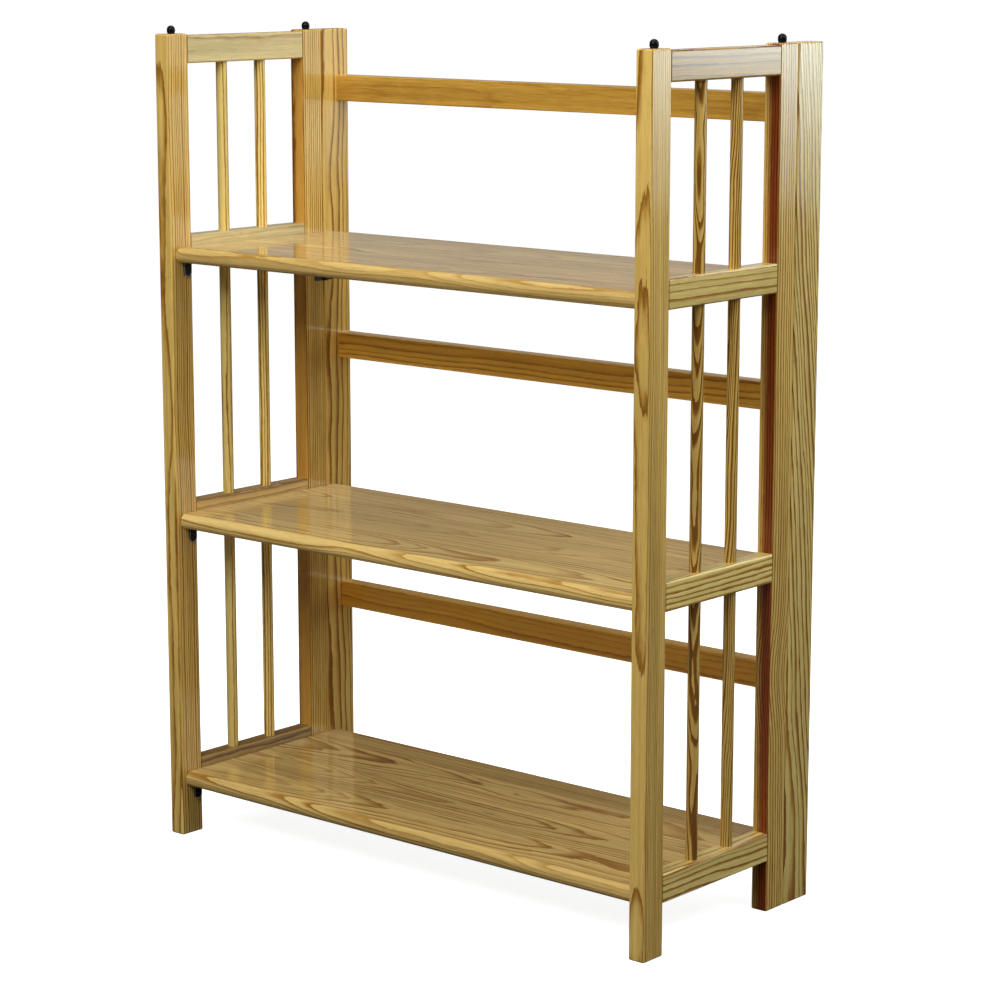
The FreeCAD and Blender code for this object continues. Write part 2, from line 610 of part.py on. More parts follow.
def bracket_screws(side_name, side):
    """Flat-topped screws of one side's brackets, their heads in the dished legs."""
    top = "%s + pan_height" % BRACKET_FLOOR
    brim = "%s + pan_height / 2" % BRACKET_FLOOR
    outline = [(top, "0"), (top, "(pan_head - pan_height) / 2"), (brim, "pan_head / 2"),
               (BRACKET_FLOOR, "pan_head / 2")] + shank(BRACKET_FLOOR)
    pair = [("0", "-" + UPPER_SCREW), ("0", "-" + LOWER_SCREW)]
    return screw_set("%s_bracket_screws" % side_name, side, outline, BRACKET_Y, BRACKET_Z, pair)


# ------------------------------------------------------------------ stacking pegs
def stacking_peg(side_name, side, which):
    """A ball-headed peg on top of a stile.  Its frame is on its axis at the top of the stile."""
    body = new_body("%s_%s_stacking_peg" % (side_name, which))
    outline = [("peg_ball / 2", PEG_HIGH), ("0", PEG_RISE), ("0", "-peg_stem_length"),
               ("peg_stem / 2", "-peg_stem_length"), ("peg_stem / 2", "0"), ("peg_neck / 2", "0"),
               ("peg_neck / 2", "peg_neck_rise"), ("peg_ball / 2", PEG_LOW)]
    revolve(body, profile(new_sketch(body, "XZ_Plane"), outline, arcs=(0, 6)), "V_Axis")
    middle = "stile_depth / 2" if which == "front" else "panel_depth - stile_depth / 2"
    place(body, x="%d * %s" % (side, PANEL_MID), y="%s + %s" % (FRONT, middle), z="stile_height")
    return body


# ------------------------------------------------------------------ the whole bookcase
def side_panel(side_name, side):
    parts = []
    for which in ("front", "rear"):
        parts.append(stile(side_name, side, which))
        parts.append(dowel(side_name, side, which))
        parts.append(stacking_peg(side_name, side, which))
    for number, level in enumerate(LEVELS):
        dowels = "both" if number else "above"
        parts.append(rail(side_name, side, level + "_shelf", level_z("rail_base", number), dowels))
    parts.append(rail(side_name, side, "upper", UPPER_RAIL, "below"))
    return parts


def fittings(side_name, side):
    parts = []
    for number, level in enumerate(LEVELS):
        parts.append(shelf_bracket(level, number, side_name, side))
        parts.append(pivot_pin(level, number, side_name, side))
        parts.append(hinge_leaf(level, number, side_name, side, "stile"))
        parts.append(hinge_leaf(level, number, side_name, side, "post"))
    parts.append(hinge_pins(side_name, side))
    parts.append(hinge_screws(side_name, side))
    parts.append(bracket_screws(side_name, side))
    return parts


def build():
    parts = []
    for side_name, side in SIDES:
        parts += side_panel(side_name, side)
        parts.append(back_post(side_name, side))
        parts += fittings(side_name, side)
    for number, level in enumerate(LEVELS):
        parts.append(shelf(level, number))
        parts.append(back_slat(level, number))
    return parts


def check_and_write(parts):
    doc.recompute()
    for item in doc.Objects:
        if "Invalid" in item.State or "Error" in item.State:
            raise RuntimeError("failed: %s %s" % (item.Label, item.State))
    for body in parts:
        if body.Shape.isNull() or not body.Shape.isValid():
            raise RuntimeError("no valid shape: " + body.Label)
    os.makedirs("parts", exist_ok=True)
    for body in parts:
        body.Shape.exportStep("parts/%s.step" % body.Label)
    print("%d sub-parts written" % len(parts))


check_and_write(build())
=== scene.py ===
"""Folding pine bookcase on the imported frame: lacquered boards and shelves, black and steel hardware.

X runs across the width, Y from the open front to the back frame, and Z up from the floor.  Metres.
"""
import json
from contextlib import contextmanager
from math import acos, cos, pi, radians, sin

import bmesh
import bpy
from bpy.props import FloatProperty, FloatVectorProperty, PointerProperty
from bpy.types import Operator, Panel, PropertyGroup
from mathutils import Euler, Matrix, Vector


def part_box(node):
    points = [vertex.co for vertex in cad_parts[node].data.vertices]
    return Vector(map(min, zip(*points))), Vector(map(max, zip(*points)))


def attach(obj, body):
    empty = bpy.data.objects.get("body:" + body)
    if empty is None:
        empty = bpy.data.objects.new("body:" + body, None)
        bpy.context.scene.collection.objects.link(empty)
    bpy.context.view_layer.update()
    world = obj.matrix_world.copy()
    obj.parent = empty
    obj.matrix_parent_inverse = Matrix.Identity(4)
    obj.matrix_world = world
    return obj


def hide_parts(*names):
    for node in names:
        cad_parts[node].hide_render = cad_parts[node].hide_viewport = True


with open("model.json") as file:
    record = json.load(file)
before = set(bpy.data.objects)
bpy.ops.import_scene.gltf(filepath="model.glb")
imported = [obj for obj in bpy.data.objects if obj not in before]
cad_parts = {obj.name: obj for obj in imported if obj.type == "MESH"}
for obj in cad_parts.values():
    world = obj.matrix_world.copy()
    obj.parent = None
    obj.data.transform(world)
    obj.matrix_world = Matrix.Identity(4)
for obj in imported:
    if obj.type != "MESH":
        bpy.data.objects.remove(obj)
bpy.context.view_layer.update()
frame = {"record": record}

bl_info = {
    "name": "Folding Bookcase",
    "version": (1, 0, 0),
    "blender": (4, 5, 0),
    "location": "View3D > Sidebar > Bookcase",
    "description": "Makes a folding pine bookcase, its hardware and a studio stage",
    "category": "Object",
}

MM = 0.001
SIDES = {"left": -1, "right": 1}
ROWS = ("front", "rear")
LEVELS = ("bottom", "middle", "top")
RAILS = ("upper", "top_shelf", "middle_shelf", "bottom_shelf")
X, Y, Z = 0, 1, 2

# how close a place has to be to count as the same, how square a face or edge has to be, and the bend
# between two faces up to which they are shaded as one
NEAR = 0.1 * MM
SQUARE = 0.99
PARALLEL = 0.999
SMOOTH_ANGLE = radians(32.0)


# ------------------------------------------------------------------ settings
def length(name, description, millimetres):
    return FloatProperty(
        name=name, description=description, default=millimetres * MM, min=0.0, unit="LENGTH")


def tint(name, description, *default):
    return FloatVectorProperty(
        name=name, description=description, default=default, size=3, min=0.0, max=1.0, subtype="COLOR")


class BookcaseWood(PropertyGroup):
    """Sizes and colours of the wooden pieces"""
    edge_round: length("Edge round", "Radius of the eased edges of stiles, posts and rails", 2.0)
    slat_round: length("Slat round", "Radius of the eased edges of the back slats", 1.5)
    nose_round: length("Shelf nose", "Radius above and below a shelf's front edge", 8.0)
    tail_round: length("Shelf tail", "Radius of a shelf's rear edge", 2.0)
    tenon_length: length("Tenon length", "How far a rail or slat enters the wood beside it", 10.0)
    tenon_shoulder: length("Tenon shoulder", "Shoulder all round a tenon", 5.0)
    play: length("Play", "Room around a tenon, dowel or pin in its hole", 0.1)
    pale: tint("Pale", "Earlywood of the two palest rails", 0.72, 0.58, 0.25)
    cream: tint("Cream", "Earlywood of the shelves", 0.75, 0.515, 0.165)
    straw: tint("Straw", "Earlywood of the pale boards", 0.69, 0.52, 0.16)
    honey: tint("Honey", "Earlywood of most boards", 0.73, 0.48, 0.12)
    amber: tint("Amber", "Earlywood of the most golden boards", 0.72, 0.415, 0.068)
    late_colour: tint("Latewood", "Dark line at the end of a ring", 0.235, 0.095, 0.010)
    turning_colour: tint(
        "Turning wood", "Orange wood between the pale and the dark of a ring", 0.43, 0.20, 0.025)
    heart_tint: tint("Heartwood", "Tint of the reddest heartwood", 0.38, 0.125, 0.055)
    young_tint: tint("Young heartwood", "Tint of the orange heartwood", 0.86, 0.67, 0.45)
    resin_colour: tint("Resin", "Resin flecks in the wood", 0.10, 0.035, 0.008)
    lacquer_roughness: FloatProperty(
        name="Lacquer roughness", description="How matt the clear lacquer is",
        default=0.10, min=0.0, max=1.0, subtype="FACTOR")


class BookcaseHardware(PropertyGroup):
    """Sizes and colours of the metal pieces"""
    black_colour: tint("Black", "Black finish of hinges, brackets and pegs", 0.004, 0.004, 0.0045)
    screw_colour: tint("Screws", "Blackened steel of the screws", 0.07, 0.068, 0.065)
    steel_colour: tint("Steel", "Bare steel of the pins", 0.56, 0.55, 0.53)
    # the rim colour is a painted highlight along each bracket's raised rim, standing in for light caught by
    # its rounded edge
    rim_highlight_colour: tint("Rim highlight", "Raised rim of a bracket, rubbed through to the metal", 0.45, 0.44, 0.42)
    bracket_leg: length("Bracket leg", "Thickness of a bracket's leg with its rim", 2.2)
    rim_wide: length("Bracket rim", "Width of the raised rim of a bracket", 1.5)
    rim_high: length("Rim height", "Height of the raised rim of a bracket", 0.9)
    ledge_thick: length("Ledge", "Thickness of the ledge that carries a shelf", 1.6)
    leaf_thick: length("Hinge leaf", "Thickness of a hinge leaf", 1.2)
    knuckle: length("Knuckle", "Outside diameter of a hinge knuckle", 4.8)
    hinge_pin: length("Hinge pin", "Diameter of a hinge pin", 2.4)
    screw_shank: length("Screw shank", "Diameter of a wood screw's shank", 2.8)
    pan_head: length("Pan head", "Diameter of a bracket screw's head", 4.6)
    flat_head: length("Flat head", "Diameter of a hinge screw's countersunk head", 5.0)
    recess_wide: length("Cross recess", "Width of a slot of a screw's cross recess", 0.5)


class BookcaseStage(PropertyGroup):
    """Floor, lights and camera"""
    floor_colour: tint("Floor", "Colour of the plain floor", 0.90, 0.90, 0.90)
    floor_bounce: tint("Floor bounce", "Colour of the floor as the bookcase is lit by it", 0.10, 0.10, 0.10)
    floor_glow: FloatProperty(
        name="Floor glow", description="Brightness added to the floor for the camera",
        default=0.9, min=0.0)
    floor_size: FloatProperty(
        name="Floor size", description="Side of the floor", default=120.0, min=1.0, unit="LENGTH")
    camera_place: FloatVectorProperty(
        name="Camera", description="Place of the camera",
        default=(2.1003, -2.4249, 1.0307), size=3, subtype="TRANSLATION")
    camera_turn: FloatProperty(
        name="Camera turn", description="Turn of the camera about the vertical",
        default=radians(40.46), unit="ROTATION")
    camera_drop: FloatProperty(
        name="Camera drop", description="How far the camera looks down",
        default=radians(10.81), unit="ROTATION")
    camera_lens: FloatProperty(
        name="Lens", description="Focal length of the camera, in millimetres", default=106.2, min=10.0)


# ------------------------------------------------------------------ bench work
def pick(piece):
    """Make one piece the only selected one, in object mode."""
    bpy.ops.object.select_all(action="DESELECT")
    piece.select_set(True)
    bpy.context.view_layer.objects.active = piece


def settle(piece):
    """Put a piece's place, turn and scale into its mesh."""
    pick(piece)
    bpy.ops.object.transform_apply(location=True, rotation=True, scale=True)
    return piece


def block(low, high):
    """A block between two corners."""
    bpy.ops.object.select_all(action="DESELECT")
    low, high = Vector(low), Vector(high)
    bpy.ops.mesh.primitive_cube_add(size=1.0, location=(low + high) / 2, scale=high - low)
    return settle(bpy.context.active_object)


def rod(centre, axis, radius, depth, sides=32):
    """A round rod along an axis, about its centre."""
    turn = {X: (0.0, pi / 2, 0.0), Y: (pi / 2, 0.0, 0.0), Z: (0.0, 0.0, 0.0)}[axis]
    bpy.ops.object.select_all(action="DESELECT")
    bpy.ops.mesh.primitive_cylinder_add(
        vertices=sides, radius=radius, depth=depth, location=centre, rotation=turn)
    return settle(bpy.context.active_object)


@contextmanager
def editing(piece):
    """Edit mode on one piece."""
    pick(piece)
    bpy.ops.object.mode_set(mode="EDIT")
    yield
    bpy.ops.object.mode_set(mode="OBJECT")


def choose(piece, kind, test):
    """In edit mode, select just the faces or edges that pass a test."""
    bpy.ops.mesh.select_mode(type=kind)
    bpy.ops.mesh.select_all(action="DESELECT")
    mesh = bmesh.from_edit_mesh(piece.data)
    for item in {"FACE": mesh.faces, "EDGE": mesh.edges}[kind]:
        if test(item):
            item.select_set(True)
    bmesh.update_edit_mesh(piece.data)


def edge_middle(edge):
    return (edge.verts[0].co + edge.verts[1].co) / 2


def runs_along(edge, axis):
    """Whether an edge is parallel to an axis."""
    run = (edge.verts[1].co - edge.verts[0].co).normalized()
    return abs(run[axis]) > PARALLEL


def bevel(radius, segments):
    """Round the selected edges."""
    bpy.ops.mesh.bevel(
        offset=radius, offset_type="OFFSET", segments=segments, profile=0.5, affect="EDGES")


def ease(piece, radius, test, segments=4):
    """Round the edges that pass a test."""
    with editing(piece):
        choose(piece, "EDGE", test)
        bevel(radius, segments)


def draw_out(axis, distance):
    """Extrude the selected faces along an axis."""
    step = [0.0, 0.0, 0.0]
    step[axis] = distance
    bpy.ops.mesh.extrude_region_move(TRANSFORM_OT_translate={"value": step})


def point_outwards():
    """In edit mode, turn all faces of a closed solid outwards."""
    bpy.ops.mesh.select_all(action="SELECT")
    bpy.ops.mesh.normals_make_consistent(inside=False)


def shaped(piece, kind, **settings):
    """Add a modifier and apply it."""
    pick(piece)
    tool = piece.modifiers.new(kind.lower(), kind)
    for name, value in settings.items():
        setattr(tool, name, value)
    bpy.ops.object.modifier_apply(modifier=tool.name)


def discard(piece):
    """Delete a piece that has served to make others."""
    mesh = piece.data
    bpy.data.objects.remove(piece)
    bpy.data.meshes.remove(mesh)


def cut(piece, cutter, operation="DIFFERENCE"):
    """Cut a piece with another, or join them into one solid; the other is used up."""
    shaped(piece, "BOOLEAN", operation=operation, solver="EXACT", object=cutter)
    discard(cutter)


def move(piece, step=(0.0, 0.0, 0.0), turn=0.0, axis="Z"):
    """Turn a piece about an axis through the origin, then shift it, all in its mesh."""
    piece.rotation_euler["XYZ".index(axis)] = turn
    piece.location = step
    return settle(piece)


def copy_of(piece, step=(0.0, 0.0, 0.0), turn=0.0, axis="Z"):
    """A copy with its own mesh, turned about the origin and shifted."""
    pick(piece)
    bpy.ops.object.duplicate(linked=False)
    return move(bpy.context.active_object, step, turn, axis)


def copy_for(node, piece, first, half_turn=False):
    """A copy, for another node, of the piece that was made in the first node's place."""
    start = middle(first)
    if half_turn:
        start = Vector((-start.x, -start.y, start.z))
    return copy_of(piece, middle(node) - start, pi if half_turn else 0.0)


def gathered(pieces):
    """Several solids as one piece."""
    bpy.ops.object.select_all(action="DESELECT")
    for piece in pieces:
        piece.select_set(True)
    bpy.context.view_layer.objects.active = pieces[0]
    bpy.ops.object.join()
    return pieces[0]


def turned(outline, sides=32):
    """A solid turned about the Z axis: outline lists (radius, height) from the lower end to the upper."""
    bpy.ops.object.select_all(action="DESELECT")
    radius, height = outline[0]
    bpy.ops.mesh.primitive_circle_add(
        vertices=sides, radius=radius, fill_type="NGON", location=(0.0, 0.0, height))
    piece = settle(bpy.context.active_object)
    with editing(piece):
        bpy.ops.mesh.select_all(action="SELECT")
        for next_radius, next_height in outline[1:]:
            draw_out(Z, next_height - height)
            grow = next_radius / radius
            bpy.ops.transform.resize(value=(grow, grow, 1.0), center_override=(0.0, 0.0, next_height))
            radius, height = next_radius, next_height
        point_outwards()
    return piece


def arc(radius, centre, start, end, steps, narrowest=0.15 * MM):
    """(radius, height) points of an arc about a point on the Z axis; angles from the horizontal."""
    angles = [start + (end - start) * step / steps for step in range(steps + 1)]
    return [(max(radius * cos(angle), narrowest), centre + radius * sin(angle)) for angle in angles]


def chamfered(radius, low, high, chamfer):
    """Outline of a round rod with chamfered ends."""
    narrow = radius - chamfer
    return [(narrow, low), (radius, low + chamfer), (radius, high - chamfer), (narrow, high)]


def finish(piece, node, kind, body, material):
    """Name a piece, smooth it, give it its material, and let it stand for its node on its body."""
    if not piece.data.polygons:
        raise RuntimeError("The piece for %s has no faces" % node)
    piece.name = "%s_%s" % (node, kind)
    piece.data.name = piece.name
    pick(piece)
    bpy.ops.object.shade_smooth_by_angle(angle=SMOOTH_ANGLE)
    shaped(piece, "WEIGHTED_NORMAL", keep_sharp=True, weight=100)
    piece.data.materials.clear()
    piece.data.materials.append(material)
    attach(piece, body)
    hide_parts(node)


def middle(node):
    low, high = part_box(node)
    return (low + high) / 2


def corners(kind):
    """The nodes of a kind that stands at each corner: front and rear, left and right."""
    return ["%s_%s_%s" % (side, row, kind) for side in SIDES for row in ROWS]


# ------------------------------------------------------------------ shader building
class Wiring:
    """Adds nodes to a node tree from left to right and joins them."""

    def __init__(self, tree):
        self.tree = tree
        self.count = 0

    def node(self, kind, feeds=None, **settings):
        """A new shader node; feeds gives its sockets a value or another node's output."""
        made = self.tree.nodes.new("ShaderNode" + kind)
        made.location = (180.0 * (self.count // 3), -220.0 * (self.count % 3))
        self.count += 1
        for name, value in settings.items():
            setattr(made, name, value)
        for socket, value in (feeds or {}).items():
            if isinstance(value, bpy.types.NodeSocket):
                self.tree.links.new(value, made.inputs[socket])
            else:
                made.inputs[socket].default_value = value
        return made

    def result(self, kind, feeds=None, **settings):
        """The first output of a new node."""
        return self.node(kind, feeds, **settings).outputs[0]

    def math(self, operation, first, second=0.0, clamp=False):
        return self.result("Math", {0: first, 1: second}, operation=operation, use_clamp=clamp)

    def plus(self, first, second):
        return self.math("ADD", first, second)

    def minus(self, first, second):
        return self.math("SUBTRACT", first, second)

    def times(self, first, second, clamp=False):
        return self.math("MULTIPLY", first, second, clamp)

    def absolute(self, value):
        return self.math("ABSOLUTE", value)

    def vector(self, operation, first, second):
        return self.result("VectorMath", {0: first, 1: second}, operation=operation)

    def scaled(self, vector, factor):
        return self.result("VectorMath", {"Vector": vector, "Scale": factor}, operation="SCALE")

    def split(self, vector):
        return self.node("SeparateXYZ", {0: vector}).outputs

    def joined(self, x=0.0, y=0.0, z=0.0):
        return self.result("CombineXYZ", {0: x, 1: y, 2: z})

    def ramp(self, value, low, high, start=0.0, end=1.0, smooth=True):
        """Map a range to another, with a soft or straight slope, and hold it beyond."""
        return self.result(
            "MapRange", {0: value, 1: low, 2: high, 3: start, 4: end},
            interpolation_type="SMOOTHSTEP" if smooth else "LINEAR", clamp=True)

    def noise(self, vector, detail=2.0, roughness=0.5):
        return self.node(
            "TexNoise",
            {"Vector": vector, "Scale": 1.0, "Detail": detail, "Roughness": roughness}).outputs

    def luck(self, number):
        """Three chance values for a whole number."""
        chance = self.node("TexWhiteNoise", {"W": number}, noise_dimensions="1D").outputs["Color"]
        return self.node("SeparateColor", {0: chance}).outputs

    def mixed(self, share, first, second, blend="MIX"):
        """Mix two colours; they are sockets 6 and 7 of the node, and their mix is its output 2."""
        made = self.node("Mix", {0: share, 6: first, 7: second}, data_type="RGBA", blend_type=blend)
        return made.outputs[2]

    def finished(self, kind, shader):
        """Lead a shader to the output of a material or world."""
        output = self.node("Output" + kind)
        self.tree.links.new(shader, output.inputs["Surface"])


def new_group(name, inputs, outputs):
    """A shader node group from the defaults of its inputs and the kinds of its outputs."""
    tree = bpy.data.node_groups.new(name, "ShaderNodeTree")
    for label, default in inputs.items():
        kind = "Float" if isinstance(default, float) else {3: "Vector", 4: "Color"}[len(default)]
        socket = tree.interface.new_socket(label, in_out="INPUT", socket_type="NodeSocket" + kind)
        socket.default_value = default
    for label, kind in outputs.items():
        tree.interface.new_socket(label, in_out="OUTPUT", socket_type="NodeSocket" + kind)
    start = tree.nodes.new("NodeGroupInput")
    start.location = (-180.0, 0.0)
    return Wiring(tree), start.outputs


def close_group(wiring, results):
    end = wiring.tree.nodes.new("NodeGroupOutput")
    end.location = (180.0 * (wiring.count // 3 + 1), 0.0)
    for label, value in results.items():
        wiring.tree.links.new(value, end.inputs[label])
    return wiring.tree


def group_named(name, maker):
    """The node group of that name, made by maker the first time."""
    return bpy.data.node_groups.get(name) or maker(name)


def pine_grain_group(name):
    """Growth rings around a leaning, wandering pith; the grain runs along the position's Z.

    Widths, radii and places are in millimetres.
    """
    w, given = new_group(name, {
        "Position": (0.0, 0.0, 0.0), "Facing": (0.0, 0.0, 1.0), "Seed": 0.0,
        "Pith X": 40.0, "Pith Y": 0.0, "Lean X": 0.0, "Lean Y": 0.0,
        "Ring Width": 2.4, "Wander": 3.0, "Swirl": 1.0, "Contrast": 0.8, "Crispness": 1.6, "Tone": 1.0,
        "Heart Radius": 0.0, "Heart X": 0.0, "Heart Y": 0.0, "Bulge": 0.0, "Bulge Place": 0.0,
        "Earlywood": (0.7, 0.47, 0.18, 1.0), "Turning": (0.5, 0.25, 0.05, 1.0),
        "Latewood": (0.27, 0.1, 0.02, 1.0), "Heartwood": (0.6, 0.38, 0.3, 1.0),
        "Resin": (0.1, 0.035, 0.008, 1.0),
    }, {"Color": "Color", "Roughness": "Float", "Height": "Float"})
    seed_steps = (37.7, 91.3, 53.9)
    seed_years = 17.0
    bend_length = 240.0
    swirl_depth, fine_depth, rag_depth = 3.0, 0.36, 0.22
    bulge_length = 80.0
    spell_years, spell_depth = 0.31, 2.4

    place = w.scaled(given["Position"], 1.0 / MM)
    parts = w.split(place)
    own = w.scaled(seed_steps, given["Seed"])

    def streaks(stretch, detail=2.0, roughness=0.5):
        """Noise drawn out along the grain."""
        return w.noise(w.vector("ADD", w.vector("MULTIPLY", place, stretch), own), detail, roughness)[0]

    def push(noise, depth):
        """How far a noise pushes the rings out or in."""
        return w.times(w.minus(noise, 0.5), depth)

    def distance(aside):
        return w.math("SQRT", w.plus(*[w.times(part, part) for part in aside]))

    # the pith wanders along the trunk
    bend_at = w.vector("ADD", w.joined(z=w.times(parts[2], 1.0 / bend_length)), own)
    bend = w.vector("SUBTRACT", w.noise(bend_at, 1.0)["Color"], (0.5, 0.5, 0.5))
    bend_parts = w.split(w.scaled(bend, w.times(given["Wander"], 2.0)))
    from_pith = []
    for axis, label in enumerate("XY"):
        aside = w.minus(parts[axis], given["Pith " + label])
        aside = w.minus(aside, w.times(parts[2], given["Lean " + label]))
        from_pith.append(w.plus(aside, bend_parts[axis]))
    radius = distance(from_pith)

    # the rings are not quite round, and their lines are a little ragged
    swirl = push(streaks((1 / 26, 1 / 26, 1 / 150)), given["Swirl"])
    radius = w.plus(radius, w.times(swirl, swirl_depth))
    fine = w.times(push(streaks((1 / 5, 1 / 5, 1 / 55)), fine_depth), given["Ring Width"])
    rag = w.times(push(streaks((1 / 2.2, 1 / 2.2, 1 / 14)), rag_depth), given["Ring Width"])

    # a knot close by pushes the rings aside
    beside = w.absolute(w.minus(parts[2], given["Bulge Place"]))
    bulge = w.times(w.ramp(beside, 0.0, bulge_length, 1.0, 0.0), given["Bulge"])
    radius = w.plus(w.plus(w.plus(radius, bulge), fine), rag)

    # lean and fat years
    years = w.math("DIVIDE", radius, given["Ring Width"])
    spell = w.noise(w.vector("ADD", w.joined(w.times(years, spell_years)), own), 1.0)[0]
    years = w.plus(years, w.times(spell, spell_depth))
    phase = w.math("FRACT", years)
    luck = w.luck(w.plus(w.math("FLOOR", years), w.times(given["Seed"], seed_years)))

    # earlywood darkens into latewood and ends at a crisp line
    onset = w.ramp(luck[0], 0.0, 1.0, 0.25, 0.62, smooth=False)
    rise = w.math("DIVIDE", w.minus(phase, onset), w.minus(0.9, onset), clamp=True)
    rise = w.math("POWER", rise, given["Crispness"])
    fall = w.ramp(phase, 0.90, 0.99, 1.0, 0.0)
    depth = w.ramp(luck[1], 0.0, 1.0, 0.55, 1.15, smooth=False)
    late = w.times(w.times(rise, fall), depth)

    # fibres, and resin canals as short dark dashes
    fibre = streaks((1.1, 1.1, 1 / 26), 3.0, 0.6)
    streak = streaks((1 / 6, 1 / 6, 1 / 330))
    patch = streaks((1 / 60, 1 / 60, 1 / 420), 1.0)
    fleck = w.ramp(streaks((0.8, 0.8, 1 / 7), 1.0), 0.71, 0.78, 0.0, 0.35)

    share = w.times(late, given["Contrast"], clamp=True)
    colour = w.mixed(w.ramp(share, 0.0, 0.6), given["Earlywood"], given["Turning"])
    colour = w.mixed(w.ramp(share, 0.35, 1.0), colour, given["Latewood"])
    colour = w.mixed(fleck, colour, given["Resin"])
    heart = distance([w.minus(parts[axis], given["Heart " + label]) for axis, label in enumerate("XY")])
    heart = w.ramp(w.minus(w.plus(heart, rag), given["Heart Radius"]), -0.9, 0.6, 1.0, 0.0)
    colour = w.mixed(heart, colour, w.mixed(1.0, colour, given["Heartwood"], "MULTIPLY"))
    # Tone scales the board's brightness; on some boards it also paints in light or shade
    shade = w.plus(w.ramp(fibre, 0.25, 0.75, -0.20, 0.16, smooth=False), given["Tone"])
    shade = w.plus(shade, w.ramp(streak, 0.25, 0.75, -0.20, 0.14, smooth=False))
    shade = w.plus(shade, w.ramp(patch, 0.3, 0.7, -0.10, 0.08, smooth=False))

    # end grain soaks up the lacquer and looks darker; dark wood is also redder
    end_grain = w.ramp(w.absolute(w.split(given["Facing"])[2]), 0.6, 0.9)
    shade = w.times(shade, w.ramp(end_grain, 0.0, 1.0, 1.0, 0.72, smooth=False))
    shades = w.joined(shade, w.math("POWER", shade, 1.12), w.math("POWER", shade, 1.35))
    return close_group(w, {
        "Color": w.vector("MULTIPLY", colour, shades),
        "Roughness": w.plus(w.times(late, -0.10), w.ramp(fibre, 0.3, 0.7, 0.46, 0.56)),
        "Height": w.plus(w.times(late, 0.6), w.times(fibre, 0.4))})


def glued_strips_group(name):
    """Cut a board into glued strips across its Y: each strip gets its own stretch of wood and tone."""
    w, given = new_group(
        name, {"Position": (0.0, 0.0, 0.0), "Strip Width": 0.06, "Seed": 0.0},
        {"Position": "Vector", "Tone": "Float", "Joint": "Float", "Strip": "Float"})
    # where the glue lines fall from the board's middle, in strips
    first_strip = 0.9
    seed_strips = 11.0
    glue_line = 0.35 * MM
    parts = w.split(given["Position"])
    count = w.plus(w.math("DIVIDE", parts[1], given["Strip Width"]), first_strip)
    strip = w.math("FLOOR", count)
    within = w.minus(w.math("FRACT", count), 0.5)
    luck = w.luck(w.plus(strip, w.times(given["Seed"], seed_strips)))
    offset = w.ramp(luck[0], 0.0, 1.0, -0.5, -0.1, smooth=False)
    across = w.times(w.plus(within, offset), given["Strip Width"])
    down = w.plus(parts[2], w.times(luck[1], 3.0))
    edge = w.times(w.minus(0.5, w.absolute(within)), given["Strip Width"])
    return close_group(w, {
        "Position": w.joined(parts[0], across, down),
        "Tone": w.ramp(luck[2], 0.0, 1.0, 0.93, 1.05, smooth=False),
        "Joint": w.ramp(edge, 0.0, glue_line, 1.0, 0.0),
        "Strip": strip})


def metal_finish_group(name):
    """Paint on steel or bare steel: slight orange peel, faint scuffs."""
    w, given = new_group(name, {
        "Position": (0.0, 0.0, 0.0), "Finish": (0.01, 0.01, 0.011, 1.0), "Scuff": (0.05, 0.05, 0.05, 1.0),
        "Peel": 900.0, "Base Roughness": 0.3,
    }, {"Color": "Color", "Roughness": "Float", "Height": "Float"})
    peel = w.noise(w.scaled(given["Position"], given["Peel"]))[0]
    scuff = w.noise(w.vector("MULTIPLY", given["Position"], (900.0, 900.0, 240.0)), 3.0, 0.7)[0]
    worn = w.ramp(scuff, 0.58, 0.74)
    return close_group(w, {
        "Color": w.mixed(w.times(worn, 0.5), given["Finish"], given["Scuff"]),
        "Roughness": w.plus(given["Base Roughness"], w.times(worn, 0.18)),
        "Height": peel})


def new_material(name):
    material = bpy.data.materials.new(name)
    material.use_nodes = True
    material.node_tree.nodes.clear()
    return material, Wiring(material.node_tree)


def surface(w, feeds, height, strength, distance):
    """Principled surface with a bump."""
    bump = w.result("Bump", {"Height": height, "Strength": strength, "Distance": distance})
    w.finished("Material", w.result("BsdfPrincipled", {**feeds, "Normal": bump}))


def opaque(colour):
    return (*colour, 1.0)


GRAIN_TURN = {X: Euler((0.0, -pi / 2, 0.0)), Y: Euler((pi / 2, 0.0, 0.0)), Z: Euler((0.0, 0.0, 0.0))}


